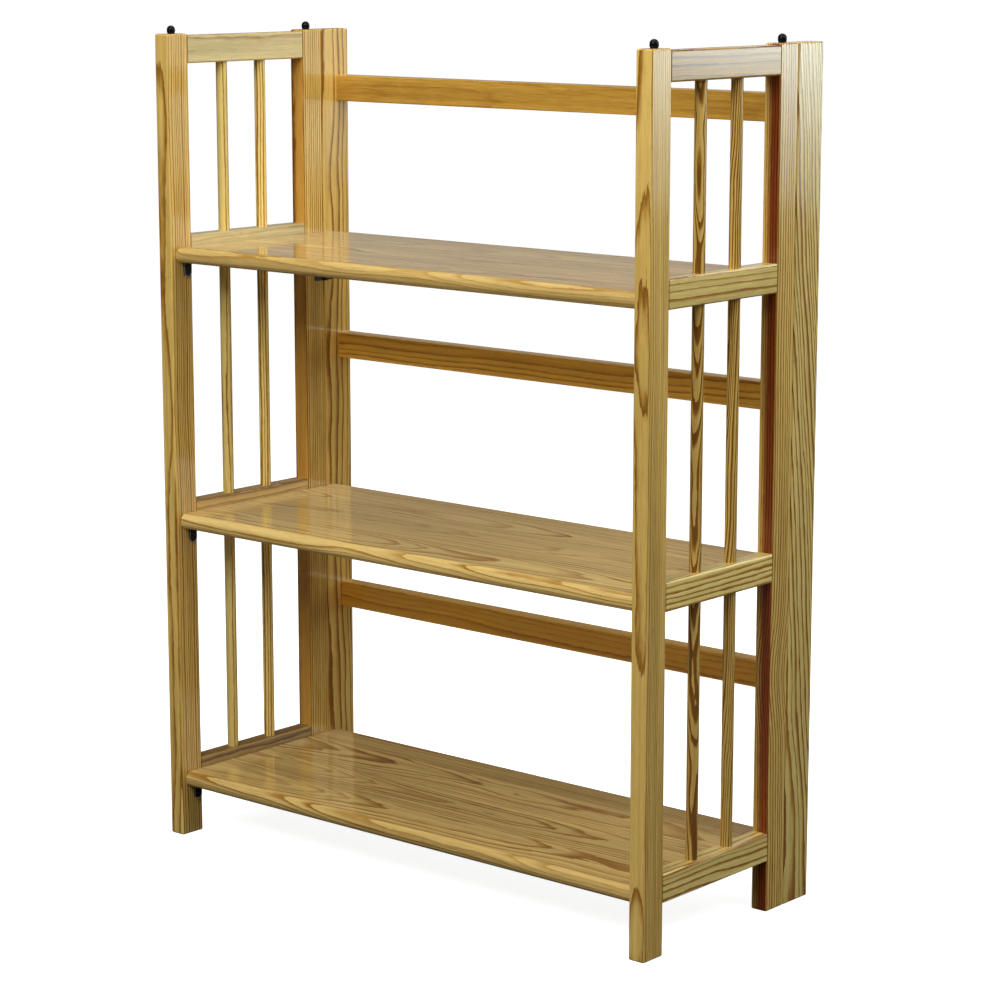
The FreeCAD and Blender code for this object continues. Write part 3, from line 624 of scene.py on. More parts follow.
def pine(node, wood, pith, lean, heart_at=(0.0, 0.0), heart_wood="heart_tint", strip=None, **figure):
    """Lacquered pine for the board that stands for a node; its grain runs along its longest side.

    The values in figure are named after the inputs of the grain group, in lower case.
    """
    settings = bpy.context.scene.bookcase_wood
    low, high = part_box(node)
    sides = list(high - low)
    turn = GRAIN_TURN[sides.index(max(sides))]
    seed = 1.0 + list(SAWN).index(node)
    material, w = new_material("pine_" + node)
    given = w.node("TexCoord").outputs
    centre = -(turn.to_matrix() @ ((low + high) / 2))
    place = w.result(
        "Mapping", {"Vector": given["Object"], "Location": centre, "Rotation": turn}, vector_type="POINT")
    facing = w.result("Mapping", {"Vector": given["Normal"], "Rotation": turn}, vector_type="VECTOR")
    values = {name.replace("_", " ").title(): value for name, value in figure.items()}
    for label, pair in {"Pith": pith, "Lean": lean, "Heart": heart_at}.items():
        values[label + " X"], values[label + " Y"] = pair
    for label, setting in {"Earlywood": wood, "Turning": "turning_colour", "Latewood": "late_colour",
                           "Heartwood": heart_wood, "Resin": "resin_colour"}.items():
        values[label] = opaque(getattr(settings, setting))
    values.update({"Position": place, "Facing": facing, "Seed": seed})
    if strip:
        strips = w.node("Group", {"Position": place, "Strip Width": strip, "Seed": seed},
                        node_tree=group_named("glued strips", glued_strips_group)).outputs
        values["Position"] = strips["Position"]
        values["Tone"] = w.times(strips["Tone"], figure["tone"])
        values["Seed"] = w.plus(strips["Strip"], seed)
    grain = w.node("Group", values, node_tree=group_named("pine grain", pine_grain_group)).outputs
    colour = grain["Color"]
    if strip:
        colour = w.mixed(w.times(strips["Joint"], 0.35), colour, opaque(settings.late_colour))
    surface(w, {
        "Base Color": colour, "Roughness": grain["Roughness"], "Specular IOR Level": 0.12,
        "Coat Weight": 1.0, "Coat Roughness": settings.lacquer_roughness, "Coat IOR": 1.5},
        grain["Height"], strength=0.12, distance=0.15 * MM)
    return material


def hard_surface(name, finish_colour, scuff_colour, roughness, metallic=0.0, coat=0.0, peel=900.0,
                 sheen=0.5, rim=None):
    """Painted, moulded or bare metal.

    Where rim is given, a painted highlight is laid along the raised rims: rim gives their distance from X =
    0 and the highlight's colour.
    """
    # painted highlight: full within the first distance of the rim, gone beyond the second
    highlit, unhighlit = 0.25 * MM, 0.6 * MM
    material, w = new_material(name)
    place = w.node("TexCoord").outputs["Object"]
    skin = w.node("Group", {
        "Position": place, "Finish": opaque(finish_colour), "Scuff": opaque(scuff_colour),
        "Peel": peel, "Base Roughness": roughness},
        node_tree=group_named("metal finish", metal_finish_group)).outputs
    colour = skin["Color"]
    # lay the painted highlight along the bracket's raised rims
    if rim:
        off = w.absolute(w.minus(w.absolute(w.split(place)[0]), rim[0]))
        colour = w.mixed(w.ramp(off, highlit, unhighlit, 1.0, 0.0), colour, opaque(rim[1]))
    surface(w, {
        "Base Color": colour, "Roughness": skin["Roughness"], "Metallic": metallic,
        "Specular IOR Level": sheen, "Coat Weight": coat, "Coat Roughness": 0.06},
        skin["Height"], strength=0.10, distance=0.05 * MM)
    return material


def metal(name):
    """The metal of that name, made the first time it is asked for."""
    hardware = bpy.context.scene.bookcase_hardware
    black = hardware.black_colour
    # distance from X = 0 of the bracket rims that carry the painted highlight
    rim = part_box("right_bottom_shelf_bracket")[1].x - hardware.bracket_leg
    looks = {
        "black_metal": dict(
            finish_colour=black, scuff_colour=(0.03, 0.03, 0.03), roughness=0.2, coat=0.5, sheen=0.3),
        # black paint with a painted highlight along the raised rims
        "black_rim_highlight": dict(
            finish_colour=black, scuff_colour=(0.02, 0.02, 0.02), roughness=0.25, coat=0.2, sheen=0.3,
            rim=(rim, hardware.rim_highlight_colour)),
        "black_gloss": dict(
            finish_colour=black, scuff_colour=black, roughness=0.08, peel=150.0, sheen=0.15),
        "black_screw": dict(
            finish_colour=hardware.screw_colour, scuff_colour=(0.16, 0.155, 0.15), roughness=0.24,
            metallic=0.8, coat=0.3),
        "bright_steel": dict(
            finish_colour=hardware.steel_colour, scuff_colour=(0.40, 0.39, 0.38), roughness=0.28,
            metallic=1.0, peel=1500.0),
    }
    return bpy.data.materials.get(name) or hard_surface(name, **looks[name])


def finish_metal(piece, node, look, body="case"):
    finish(piece, node, "metal", body, metal(look))


# how each board was sawn, and its tone; the pith's place is from the board's centre, and sizes are in
# millimetres.
# The tone is partly the board's own tone and partly painted light and shade: it is raised on boards that
# lie in shade, such as the lower back slats, the middle shelf and the lower right rails, and lowered on the
# top shelf and the left bottom shelf rail to paint in shade
FIGURE = ("wood", "pith", "lean", "ring_width", "wander", "swirl", "contrast", "crispness", "tone")
SAWN = {
    "left_front_stile": ("honey", (-16.0, 66.0), (0.02, 0.004), 3.0, 4.0, 0.9, 1.4, 1.8, 1.18),
    "right_front_stile": ("honey", (5.0, -64.0), (0.004, 0.002), 2.7, 8.0, 0.9, 0.95, 1.9, 1.12),
    "left_rear_stile": ("honey", (4.0, -71.8), (0.0, 0.0), 3.4, 1.0, 0.3, 3.5, 3.5, 1.12),
    "right_rear_stile": ("honey", (-62.0, -58.0), (0.0, 0.0), 2.8, 3.0, 0.5, 3.0, 3.4, 1.12),
    "left_back_post": ("honey", (-32.0, -26.0), (0.006, 0.0), 4.2, 9.0, 1.6, 1.0, 1.6, 1.24),
    "right_back_post": ("straw", (-34.0, -64.0), (0.0, -0.10), 5.0, 9.0, 2.2, 1.4, 1.3, 1.22),
    "left_upper_rail": ("pale", (-45.0, 4.0), (0.0, 0.0), 4.0, 2.0, 1.0, 0.4, 1.6, 1.0),
    "left_top_shelf_rail": ("pale", (-42.0, 10.0), (0.0, 0.0), 4.0, 2.0, 1.0, 0.5, 1.6, 1.0),
    "left_middle_shelf_rail": ("honey", (-30.0, 20.0), (0.0, 0.0), 3.6, 3.0, 1.0, 0.9, 1.6, 1.0),
    "left_bottom_shelf_rail": ("honey", (-30.0, -22.0), (0.0, 0.0), 3.6, 3.0, 1.0, 0.9, 1.6, 0.7),
    "right_upper_rail": ("amber", (-22.0, 26.0), (0.0, 0.0), 4.6, 3.0, 1.8, 0.85, 1.6, 0.86),
    "right_top_shelf_rail": ("straw", (-16.0, 30.0), (0.0, 0.0), 4.8, 2.0, 1.0, 1.0, 1.6, 1.18),
    "right_middle_shelf_rail": ("straw", (-20.0, -26.0), (0.0, 0.0), 4.4, 3.0, 1.4, 1.1, 1.6, 1.45),
    "right_bottom_shelf_rail": ("straw", (-22.0, 28.0), (0.0, 0.0), 4.6, 3.0, 1.6, 1.1, 1.6, 1.4),
    "left_front_dowel": ("straw", (-9.0, 30.0), (0.0, 0.0), 3.6, 3.0, 1.0, 1.4, 1.6, 1.4),
    "left_rear_dowel": ("straw", (20.0, 24.0), (0.0, 0.0), 3.6, 3.0, 1.0, 1.2, 1.6, 1.62),
    "right_front_dowel": ("honey", (-12.0, 16.0), (-0.02, 0.03), 2.3, 5.0, 4.2, 2.3, 1.3, 1.08),
    "right_rear_dowel": ("honey", (16.0, 12.0), (0.02, 0.025), 2.4, 4.0, 3.6, 2.4, 1.4, 1.08),
    "top_back_slat": ("amber", (6.0, 60.0), (0.0, 0.006), 4.0, 3.0, 1.0, 0.35, 1.6, 0.77),
    "middle_back_slat": ("amber", (-30.0, 40.0), (0.0, 0.008), 4.0, 3.0, 1.0, 0.6, 1.6, 1.42),
    "bottom_back_slat": ("amber", (26.0, 44.0), (0.0, 0.006), 4.0, 3.0, 1.0, 0.6, 1.6, 1.78),
    "top_shelf": ("cream", (24.0, 0.0), (0.02, 0.0), 3.2, 7.0, 1.6, 0.5, 0.8, 0.93),
    "middle_shelf": ("cream", (26.0, 0.0), (0.024, 0.0), 3.2, 8.0, 1.8, 0.55, 0.75, 1.34),
    "bottom_shelf": ("cream", (24.0, 0.0), (0.03, 0.0), 3.3, 10.0, 2.0, 0.6, 0.7, 1.06),
}
# boards with heartwood, and one that a knot passed
HEARTS = {
    "left_rear_stile": dict(heart_radius=57.5, heart_at=(4.0, -71.8), heart_wood="young_tint"),
    "right_rear_stile": dict(heart_radius=53.0, heart_at=(6.0, -68.0), bulge=5.0, bulge_place=-203.0),
}
GLUED_STRIP = 74.0 * MM


def finish_wood(piece, node, slot="pine", body="case"):
    figure = dict(zip(FIGURE, SAWN[node]), **HEARTS.get(node, {}))
    if slot == "pine_board":
        figure["strip"] = GLUED_STRIP
    finish(piece, node, "wood", body, pine(node, **figure))


# ------------------------------------------------------------------ wooden pieces
def board(low, high, radius, ends=True):
    """A board with every long edge eased, and its end edges too where they show."""
    piece = block(low, high)
    sides = list(high - low)
    grain = sides.index(max(sides))
    ease(piece, radius, lambda edge: ends or runs_along(edge, grain))
    return piece


def between_shoulders(node, axis, wood):
    """Corners of a rail or slat without its tenons."""
    low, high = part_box(node)
    low[axis] += wood.tenon_length
    high[axis] -= wood.tenon_length
    return low, high


def tenoned(node, axis, radius, wood):
    """A rail or slat with a tenon drawn out of both ends."""
    low, high = between_shoulders(node, axis, wood)
    piece = board(low, high, radius, ends=False)
    with editing(piece):
        for end, way in ((low, -1), (high, 1)):
            choose(piece, "FACE", lambda face: face.normal[axis] * way > SQUARE
                   and abs(face.calc_center_median()[axis] - end[axis]) < NEAR)
            bpy.ops.mesh.inset(thickness=wood.tenon_shoulder, depth=0.0, use_even_offset=True)
            draw_out(axis, way * wood.tenon_length)
    return piece


def mortise(piece, node, axis, wood):
    """Cut the mortise for the end of the rail or slat that stands for a node."""
    low, high = between_shoulders(node, axis, wood)
    for across in (X, Y, Z):
        grow = wood.tenon_length + wood.play if across == axis else wood.play - wood.tenon_shoulder
        low[across] -= grow
        high[across] += grow
    cut(piece, block(low, high))


def bore(piece, node, axis, room, deeper=0.0):
    """Bore the hole for the dowel or pin that stands for a node."""
    low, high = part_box(node)
    across = Z if axis == X else X
    radius = (high[across] - low[across]) / 2 + room
    cut(piece, rod((low + high) / 2, axis, radius, high[axis] - low[axis] + deeper))


class BOOKCASE_OT_stiles(Operator):
    """Make the front and rear stiles of both side panels"""
    bl_idname = "bookcase.stiles"
    bl_label = "Stiles"

    def execute(self, context):
        wood = context.scene.bookcase_wood
        socket_play, socket_depth = 0.4 * MM, 12.0 * MM
        first = "left_front_stile"
        low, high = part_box(first)
        stile = board(low, high, wood.edge_round)
        for rail in RAILS:
            mortise(stile, "left_%s_rail" % rail, Y, wood)
        peg_low, peg_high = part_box("left_front_stacking_peg")
        foot = (peg_low + peg_high) / 2
        foot.z = low.z
        cut(stile, rod(foot, Z, (peg_high.x - peg_low.x) / 2 + socket_play, 2 * socket_depth))
        for node in corners("stile"):
            if node != first:
                finish_wood(copy_for(node, stile, first, "_rear_" in node), node)
        finish_wood(stile, first)
        return {"FINISHED"}


class BOOKCASE_OT_rails(Operator):
    """Make the four rails of both side panels, bored for the dowels"""
    bl_idname = "bookcase.rails"
    bl_label = "Rails"

    def execute(self, context):
        wood = context.scene.bookcase_wood
        for rail in RAILS:
            node, twin = ["%s_%s_rail" % (side, rail) for side in SIDES]
            piece = tenoned(node, Y, wood.edge_round, wood)
            for row in ROWS:
                bore(piece, "left_%s_dowel" % row, Z, wood.play)
            finish_wood(copy_for(twin, piece, node), twin)
            finish_wood(piece, node)
        return {"FINISHED"}


class BOOKCASE_OT_dowels(Operator):
    """Make the two long dowels of both side panels"""
    bl_idname = "bookcase.dowels"
    bl_label = "Dowels"

    def execute(self, context):
        low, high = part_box("left_front_dowel")
        dowel = turned(chamfered((high.x - low.x) / 2, low.z, high.z, 1.0 * MM), sides=48)
        for node in corners("dowel"):
            place = middle(node)
            finish_wood(copy_of(dowel, (place.x, place.y, 0.0)), node, "pine_dowel")
        discard(dowel)
        return {"FINISHED"}


class BOOKCASE_OT_back_posts(Operator):
    """Make the two back posts, with mortises for the slats and bores for the shelf pins"""
    bl_idname = "bookcase.back_posts"
    bl_label = "Back posts"

    def execute(self, context):
        wood = context.scene.bookcase_wood
        low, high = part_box("left_back_post")
        post = board(low, high, wood.edge_round)
        for level in LEVELS:
            mortise(post, level + "_back_slat", X, wood)
            bore(post, level + "_shelf_left_pivot_pin", X, wood.play, wood.play)
        twin = copy_of(post)
        twin.scale.x = -1.0
        settle(twin)
        with editing(twin):
            point_outwards()
        finish_wood(twin, "right_back_post")
        finish_wood(post, "left_back_post")
        return {"FINISHED"}


class BOOKCASE_OT_back_slats(Operator):
    """Make the three slats of the back frame"""
    bl_idname = "bookcase.back_slats"
    bl_label = "Back slats"

    def execute(self, context):
        wood = context.scene.bookcase_wood
        first, *others = [level + "_back_slat" for level in LEVELS]
        slat = tenoned(first, X, wood.slat_round, wood)
        for node in others:
            finish_wood(copy_for(node, slat, first), node)
        finish_wood(slat, first)
        return {"FINISHED"}


class BOOKCASE_OT_shelves(Operator):
    """Make the three shelves, with a round nose and bores for their pins"""
    bl_idname = "bookcase.shelves"
    bl_label = "Shelves"

    def execute(self, context):
        wood = context.scene.bookcase_wood
        end_round = 0.5 * MM
        first, *others = [level + "_shelf" for level in LEVELS]
        low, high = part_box(first)
        shelf = block(low, high)
        centre = middle(first)
        ease(shelf, wood.nose_round, lambda edge: runs_along(edge, X)
             and edge_middle(edge).y < centre.y, segments=8)
        ease(shelf, wood.tail_round, lambda edge: runs_along(edge, X)
             and edge_middle(edge).y > high.y - NEAR, segments=3)
        ease(shelf, end_round, lambda edge: not runs_along(edge, X), segments=2)
        for side in SIDES:
            bore(shelf, "%s_%s_pivot_pin" % (first, side), X, wood.play, wood.play)
        for node in others:
            finish_wood(copy_for(node, shelf, first), node, "pine_board", node + "_board")
        finish_wood(shelf, first, "pine_board", first + "_board")
        return {"FINISHED"}


# ------------------------------------------------------------------ hardware
class BOOKCASE_OT_stacking_pegs(Operator):
    """Make the four ball-headed stacking pegs"""
    bl_idname = "bookcase.stacking_pegs"
    bl_label = "Stacking pegs"

    def execute(self, context):
        neck, band, stem = 4.0 * MM, 1.5 * MM, 3.0 * MM
        chamfer, flare = 0.6 * MM, 0.05 * MM
        low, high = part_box("left_front_stacking_peg")
        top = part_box("left_front_stile")[1].z
        ball = (high.x - low.x) / 2
        upper = high.z - ball
        lower = upper - band
        outline = [(stem - chamfer, low.z), (stem, low.z + chamfer), (stem, top - flare), (neck, top)]
        outline += arc(ball, lower, -acos(neck / ball), 0.0, steps=5)
        outline += arc(ball, upper, 0.0, pi / 2, steps=9)
        peg = turned(outline)
        for node in corners("stacking_peg"):
            place = middle(node)
            finish_metal(copy_of(peg, (place.x, place.y, 0.0)), node, "black_gloss")
        discard(peg)
        return {"FINISHED"}


class BOOKCASE_OT_shelf_brackets(Operator):
    """Make the six pressed brackets that carry the shelves"""
    bl_idname = "bookcase.shelf_brackets"
    bl_label = "Shelf brackets"

    def execute(self, context):
        hardware = context.scene.bookcase_hardware
        foot_flat, ledge_corner, soft_edge = 0.02 * MM, 2.2 * MM, 0.4 * MM
        first = "left_bottom_shelf_bracket"
        low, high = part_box(first)
        leg = hardware.bracket_leg
        under = high.z - hardware.ledge_thick
        bracket = block(low, (low.x + leg, high.y, high.z))
        with editing(bracket):
            choose(bracket, "EDGE", lambda edge: runs_along(edge, X)
                   and edge_middle(edge).z < low.z + NEAR)
            bevel((high.y - low.y) / 2 - foot_flat, segments=10)
            bpy.ops.mesh.select_all(action="SELECT")
            bpy.ops.mesh.bisect(plane_co=(0.0, 0.0, under), plane_no=(0.0, 0.0, 1.0))
            choose(bracket, "FACE", lambda face: face.normal.x > SQUARE
                   and face.calc_center_median().z < under)
            bpy.ops.mesh.inset(thickness=hardware.rim_wide, depth=0.0)
            bpy.ops.transform.translate(value=(-hardware.rim_high, 0.0, 0.0))
            choose(bracket, "FACE", lambda face: face.normal.x > SQUARE
                   and face.calc_center_median().z > under)
            draw_out(X, high.x - low.x - leg)
            choose(bracket, "EDGE", lambda edge: runs_along(edge, Z)
                   and edge_middle(edge).x > high.x - NEAR)
            bevel(ledge_corner, segments=5)
        shaped(bracket, "BEVEL", width=soft_edge, segments=2,
               limit_method="ANGLE", angle_limit=radians(50.0))
        for side in SIDES:
            for level in LEVELS:
                node = "%s_%s_shelf_bracket" % (side, level)
                if node != first:
                    twin = copy_for(node, bracket, first, side == "right")
                    finish_metal(twin, node, "black_rim_highlight")
        finish_metal(bracket, first, "black_rim_highlight")
        return {"FINISHED"}


def cross_recess(screw, top, hardware):
    """Cut a cross recess into a screw's head; top is the height of the head."""
    deep, reach = 0.9 * MM, 1.25 * MM
    slot = hardware.recess_wide / 2
    for along, across in ((reach, slot), (slot, reach)):
        cut(screw, block((-along, -across, top - deep), (along, across, top + deep)))


def shank_points(hardware, depth, top):
    """Outline of a screw's shank from its point, depth below height 0, up to its top."""
    tip, taper = 0.2 * MM, 3.0 * MM
    shank = hardware.screw_shank / 2
    return [(tip, -depth), (shank, -depth + taper), (shank, top)]


def driven(screw, sign, places):
    """Copies of a screw drawn upright, laid along X so that their heads point into the case."""
    return gathered([copy_of(screw, place, -sign * pi / 2, "Y") for place in places])


class BOOKCASE_OT_bracket_screws(Operator):
    """Make the pan-headed screws of the brackets"""
    bl_idname = "bookcase.bracket_screws"
    bl_label = "Bracket screws"

    def execute(self, context):
        hardware = context.scene.bookcase_hardware
        rise = 1.3 * MM
        rim = 0.45 * MM
        edge = 0.1 * MM
        neck = 0.02 * MM
        drops = (5.3 * MM, 11.5 * MM)
        sunk = hardware.bracket_leg - hardware.rim_high
        head = hardware.pan_head / 2
        dome = (head * head + (rise - rim) ** 2) / (2 * (rise - rim))
        low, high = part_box("left_bracket_screws")
        outline = shank_points(hardware, high.x - rise - low.x, -neck)
        outline += [(head - edge, 0.0), (head, edge)]
        outline += arc(dome, rise - dome, acos(head / dome), pi / 2, steps=5)
        screw = turned(outline, sides=24)
        cross_recess(screw, rise, hardware)
        for side, sign in SIDES.items():
            places = []
            for level in LEVELS:
                low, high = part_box("%s_%s_shelf_bracket" % (side, level))
                inner = low.x if sign < 0 else high.x
                places += [(inner - sign * sunk, (low.y + high.y) / 2, high.z - drop) for drop in drops]
            piece = driven(screw, sign, places)
            finish_metal(piece, side + "_bracket_screws", "black_screw")
        discard(screw)
        return {"FINISHED"}


# place of a hinge screw from the hinge's middle: away from the pin, and up or down
HINGE_SCREW_OUT = 10.2 * MM
HINGE_SCREW_RISES = (-11.0 * MM, 11.0 * MM)


def hinge_axis(side):
    """X and Y of a panel's hinge axis."""
    return middle(side + "_hinge_pins").xy


def hinge_middles(side):
    return [middle("%s_%s_hinge_stile_leaf" % (side, level)).z for level in LEVELS]


def hinge_leaf(hardware, way, own):
    """A leaf of the left bottom hinge with its pin at Y = 0, towards -Y or Y; own lists its knuckles."""
    gap = 0.25 * MM
    corner = 2.5 * MM
    hole_play, sink_play, sink_edge = 0.06 * MM, 0.03 * MM, 0.08 * MM
    cells = 5
    axis_x, axis_y = hinge_axis("left")
    low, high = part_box("left_bottom_hinge_stile_leaf")
    half = (high.z - low.z) / 2
    wall, front = low.x, low.x + hardware.leaf_thick
    radius = hardware.knuckle / 2
    bridge = 0.4 * radius
    cell = 2 * half / cells
    edge = 0.5 * gap
    near, far = sorted((way * (axis_y - low.y), way * edge))
    leaf = block((wall, near, -half), (front, far, half))
    ease(leaf, corner, lambda item: runs_along(item, X)
         and edge_middle(item).y * way > edge + gap, segments=5)
    for index in own:
        centre = -half + cell * (index + 0.5)
        tall = cell - (gap if 0 < index < cells - 1 else gap / 2)
        if index in (0, cells - 1):
            centre += (-gap / 4) if index == 0 else gap / 4
        near, far = sorted((0.0, way * bridge))
        cut(leaf, block((wall, near, centre - tall / 2), (front, far, centre + tall / 2)), "UNION")
        cut(leaf, rod((axis_x, 0.0, centre), Z, radius, tall, sides=28), "UNION")
    for index in range(cells):
        if index not in own:
            centre = -half + cell * (index + 0.5)
            cut(leaf, rod((axis_x, 0.0, centre), Z, radius + gap, cell, sides=28))
    cut(leaf, rod((axis_x, 0.0, 0.0), Z, hardware.hinge_pin / 2 + hole_play, 4 * half, sides=20))
    hole = hardware.screw_shank / 2 + hole_play
    mouth = hardware.flat_head / 2 + sink_play
    thick = hardware.leaf_thick
    outline = [(hole, -2 * thick), (hole, -thick + NEAR), (mouth, -sink_edge), (mouth, thick)]
    for height in HINGE_SCREW_RISES:
        sink = turned(outline, sides=28)
        cut(leaf, move(sink, (front, way * HINGE_SCREW_OUT, height), pi / 2, "Y"))
    return leaf


class BOOKCASE_OT_hinges(Operator):
    """Make the leaves of the six butt hinges, with rolled knuckles and countersunk holes"""
    bl_idname = "bookcase.hinges"
    bl_label = "Hinge leaves"

    def execute(self, context):
        hardware = context.scene.bookcase_hardware
        leaves = {"stile": hinge_leaf(hardware, -1, (0, 2, 4)), "post": hinge_leaf(hardware, 1, (1, 3))}
        for side, sign in SIDES.items():
            axis_y = hinge_axis(side)[1]
            for level, height in zip(LEVELS, hinge_middles(side)):
                for kind, leaf in leaves.items():
                    node = "%s_%s_hinge_%s_leaf" % (side, level, kind)
                    piece = copy_of(leaf, (0.0, axis_y, height), 0.0 if sign < 0 else pi, "Y")
                    finish_metal(piece, node, "black_metal")
        for leaf in leaves.values():
            discard(leaf)
        return {"FINISHED"}


class BOOKCASE_OT_hinge_pins(Operator):
    """Make the pins of the hinges"""
    bl_idname = "bookcase.hinge_pins"
    bl_label = "Hinge pins"

    def execute(self, context):
        hardware = context.scene.bookcase_hardware
        overhang, round_end, shoulder = 0.5 * MM, 0.4 * MM, 0.12 * MM
        low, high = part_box("left_bottom_hinge_stile_leaf")
        half = (high.z - low.z) / 2 + overhang
        radius = hardware.hinge_pin / 2
        outline = [(radius - round_end, -half), (radius - shoulder, -half + shoulder)]
        outline += [(radius, -half + round_end)]
        outline += [(wide, -height) for wide, height in reversed(outline)]
        pin = turned(outline, sides=20)
        for side in SIDES:
            places = [(*hinge_axis(side), height) for height in hinge_middles(side)]
            piece = gathered([copy_of(pin, place) for place in places])
            finish_metal(piece, side + "_hinge_pins", "bright_steel")
        discard(pin)
        return {"FINISHED"}


class BOOKCASE_OT_hinge_screws(Operator):
    """Make the countersunk screws of the hinges"""
    bl_idname = "bookcase.hinge_screws"
    bl_label = "Hinge screws"

    def execute(self, context):
        hardware = context.scene.bookcase_hardware
        head = hardware.flat_head / 2
        rim = 0.1 * MM
        low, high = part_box("left_hinge_screws")
        outline = shank_points(hardware, high.x - low.x, -hardware.leaf_thick + rim)
        screw = turned(outline + [(head, -rim), (head, 0.0)], sides=24)
        cross_recess(screw, 0.0, hardware)
        for side, sign in SIDES.items():
            low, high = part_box(side + "_hinge_screws")
            face = high.x if sign < 0 else low.x
            axis_y = hinge_axis(side)[1]
            places = [(face, axis_y + way * HINGE_SCREW_OUT, height + rise)
                      for height in hinge_middles(side) for way in (-1, 1) for rise in HINGE_SCREW_RISES]
            piece = driven(screw, sign, places)
            finish_metal(piece, side + "_hinge_screws", "black_screw")
        discard(screw)
        return {"FINISHED"}


class BOOKCASE_OT_pivot_pins(Operator):
    """Make the six pins that the shelves turn on"""
    bl_idname = "bookcase.pivot_pins"
    bl_label = "Shelf pins"

    def execute(self, context):
        low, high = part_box("bottom_shelf_left_pivot_pin")
        half = (high.x - low.x) / 2
        pin = turned(chamfered((high.z - low.z) / 2, -half, half, 0.5 * MM), sides=28)
        move(pin, turn=pi / 2, axis="Y")
        bodies = frame["record"]["behaviour"]["bodies"]
        for level in LEVELS:
            for side in SIDES:
                node = "%s_shelf_%s_pivot_pin" % (level, side)
                body = next(name for name, nodes in bodies.items() if node in nodes)
                finish_metal(copy_of(pin, middle(node)), node, "bright_steel", body)
        discard(pin)
        return {"FINISHED"}


# ------------------------------------------------------------------ stage
WHITE = (1.0, 1.0, 1.0)
# name, place, point looked at, width and height, watts, colour, spread in degrees
SOFTBOXES = (
    ("front_light", (0.35, -1.9, 2.0), (0.0, 0.0, 0.75), (1.6, 1.2), 39.0, WHITE, 180.0),
    ("right_light", (1.7, 0.1, 1.95), (0.3, 0.0, 0.7), (1.0, 1.0), 14.0, WHITE, 180.0),
    ("overhead_light", (0.0, -0.1, 2.5), (0.0, 0.0, 0.6), (1.8, 1.2), 17.5, WHITE, 180.0),
    ("rear_light", (-0.9, 2.6, 1.7), (0.0, 0.1, 0.6), (1.2, 1.2), 7.0, WHITE, 180.0),
    ("back_light", (2.1, 2.4, 1.42), (0.34, 0.0, 0.87), (2.0, 1.9), 3.6, (0.87, 0.98, 0.94), 70.0),
    ("glint_light", (2.1, 2.5, 0.74), (0.371, 0.049, 0.688), (0.9, 0.9), 0.11, (0.8, 0.95, 1.0), 11.0),
)


def softbox(name, place, aim, size, power, colour, spread):
    """A square area light that looks at a point."""
    bpy.ops.object.select_all(action="DESELECT")
    turn = (Vector(aim) - Vector(place)).to_track_quat("-Z", "Y").to_euler()
    bpy.ops.object.light_add(type="AREA", location=place, rotation=turn)
    light = bpy.context.active_object
    light.name = name
    light.data.shape = "RECTANGLE"
    light.data.size, light.data.size_y = size
    light.data.energy = power
    light.data.color = colour
    light.data.spread = radians(spread)


def studio_world(name, horizon, wall, above, backdrop):
    """White surroundings, brightest near the horizon, with their own brightness for the camera."""
    world = bpy.data.worlds.new(name)
    bpy.context.scene.world = world
    world.use_nodes = True
    world.node_tree.nodes.clear()
    w = Wiring(world.node_tree)
    height = w.split(w.node("TexCoord").outputs["Generated"])[2]
    level = w.ramp(height, 0.07, 0.25, horizon, wall)
    level = w.plus(level, w.ramp(height, 0.4, 0.8, 0.0, above - wall))
    seen = w.node("LightPath").outputs["Is Camera Ray"]
    level = w.ramp(seen, 0.0, 1.0, level, backdrop, smooth=False)
    w.finished("World", w.result("Background", {"Color": opaque(WHITE), "Strength": level}))


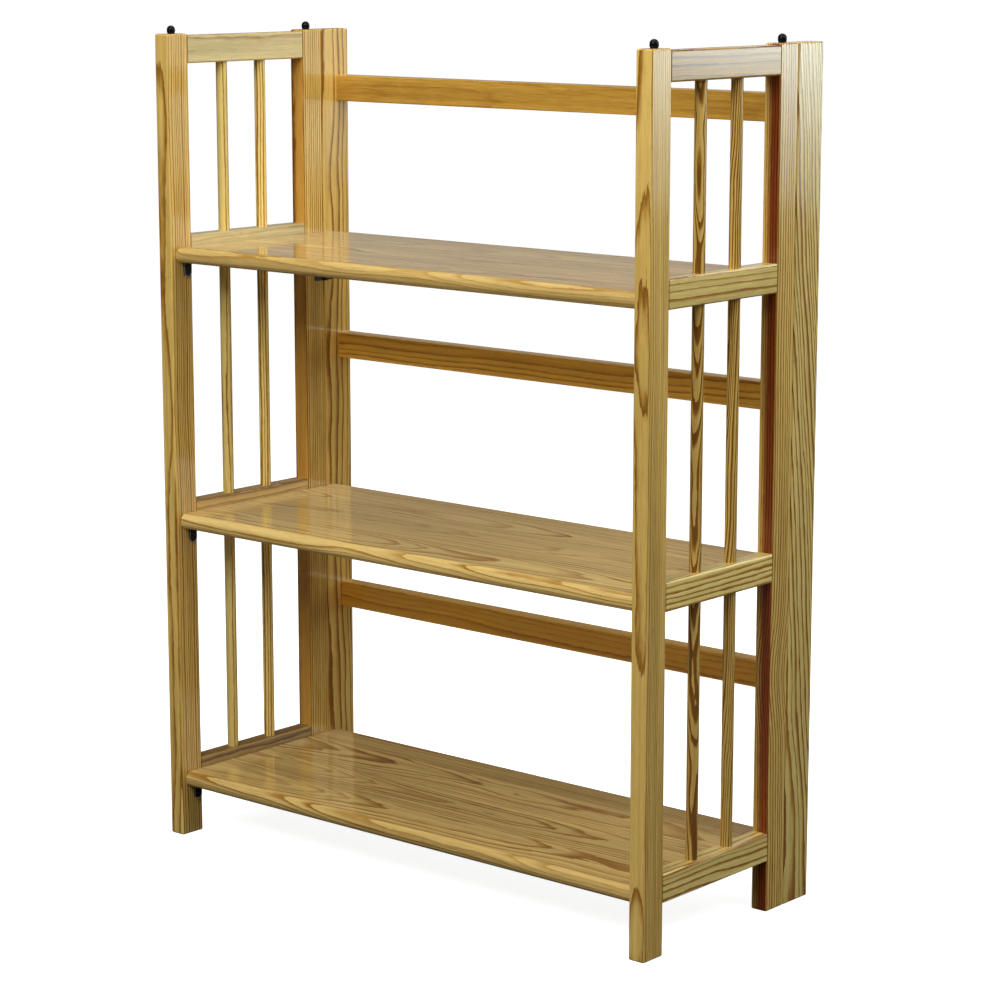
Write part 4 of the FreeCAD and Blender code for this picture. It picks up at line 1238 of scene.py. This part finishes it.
class BOOKCASE_OT_stage(Operator):
    """Make the floor, the lights and the camera"""
    bl_idname = "bookcase.stage"
    bl_label = "Stage"

    def execute(self, context):
        stage = context.scene.bookcase_stage
        bpy.ops.object.select_all(action="DESELECT")
        bpy.ops.mesh.primitive_plane_add(size=stage.floor_size, location=(0.0, 0.0, 0.0))
        floor = settle(bpy.context.active_object)
        floor.name = "floor"
        material, w = new_material("floor_white")
        seen = w.node("LightPath").outputs["Is Camera Ray"]
        w.finished("Material", w.result("BsdfPrincipled", {
            "Base Color": w.mixed(seen, opaque(stage.floor_bounce), opaque(stage.floor_colour)),
            "Roughness": 0.9, "Specular IOR Level": 0.0,
            "Emission Color": opaque(WHITE), "Emission Strength": w.times(seen, stage.floor_glow)}))
        floor.data.materials.append(material)

        studio_world("studio", horizon=0.33, wall=0.03, above=0.18, backdrop=1.0)
        for light in SOFTBOXES:
            softbox(*light)

        bpy.ops.object.camera_add(
            location=stage.camera_place, rotation=(pi / 2 - stage.camera_drop, 0.0, stage.camera_turn))
        camera = bpy.context.active_object
        camera.name = "camera"
        camera.data.lens = stage.camera_lens
        camera.data.sensor_width = 36.0
        camera.data.clip_end = 200.0
        context.scene.camera = camera
        context.scene.view_settings.view_transform = "Standard"
        return {"FINISHED"}


# ------------------------------------------------------------------ sidebar and registration
MAKERS = (
    BOOKCASE_OT_stiles,
    BOOKCASE_OT_rails,
    BOOKCASE_OT_dowels,
    BOOKCASE_OT_back_posts,
    BOOKCASE_OT_back_slats,
    BOOKCASE_OT_shelves,
    BOOKCASE_OT_stacking_pegs,
    BOOKCASE_OT_shelf_brackets,
    BOOKCASE_OT_bracket_screws,
    BOOKCASE_OT_hinges,
    BOOKCASE_OT_hinge_pins,
    BOOKCASE_OT_hinge_screws,
    BOOKCASE_OT_pivot_pins,
    BOOKCASE_OT_stage,
)
SETTINGS = {
    "bookcase_wood": BookcaseWood,
    "bookcase_hardware": BookcaseHardware,
    "bookcase_stage": BookcaseStage,
}


class BOOKCASE_PT_sidebar(Panel):
    """Settings and makers of the bookcase"""
    bl_idname = "BOOKCASE_PT_sidebar"
    bl_label = "Folding Bookcase"
    bl_space_type = "VIEW_3D"
    bl_region_type = "UI"
    bl_category = "Bookcase"

    def draw(self, context):
        for name, group in SETTINGS.items():
            box = self.layout.box()
            for setting in group.__annotations__:
                box.prop(getattr(context.scene, name), setting)
        column = self.layout.column(align=True)
        for maker in MAKERS:
            column.operator(maker.bl_idname)


CLASSES = (*SETTINGS.values(), *MAKERS, BOOKCASE_PT_sidebar)


def register():
    for group in CLASSES:
        bpy.utils.register_class(group)
    for name, group in SETTINGS.items():
        setattr(bpy.types.Scene, name, PointerProperty(type=group))


def unregister():
    for name in SETTINGS:
        delattr(bpy.types.Scene, name)
    for group in reversed(CLASSES):
        bpy.utils.unregister_class(group)


def main():
    register()
    for maker in MAKERS:
        getattr(bpy.ops.bookcase, maker.bl_idname.split(".")[1])()


if __name__ == "__main__":
    main()
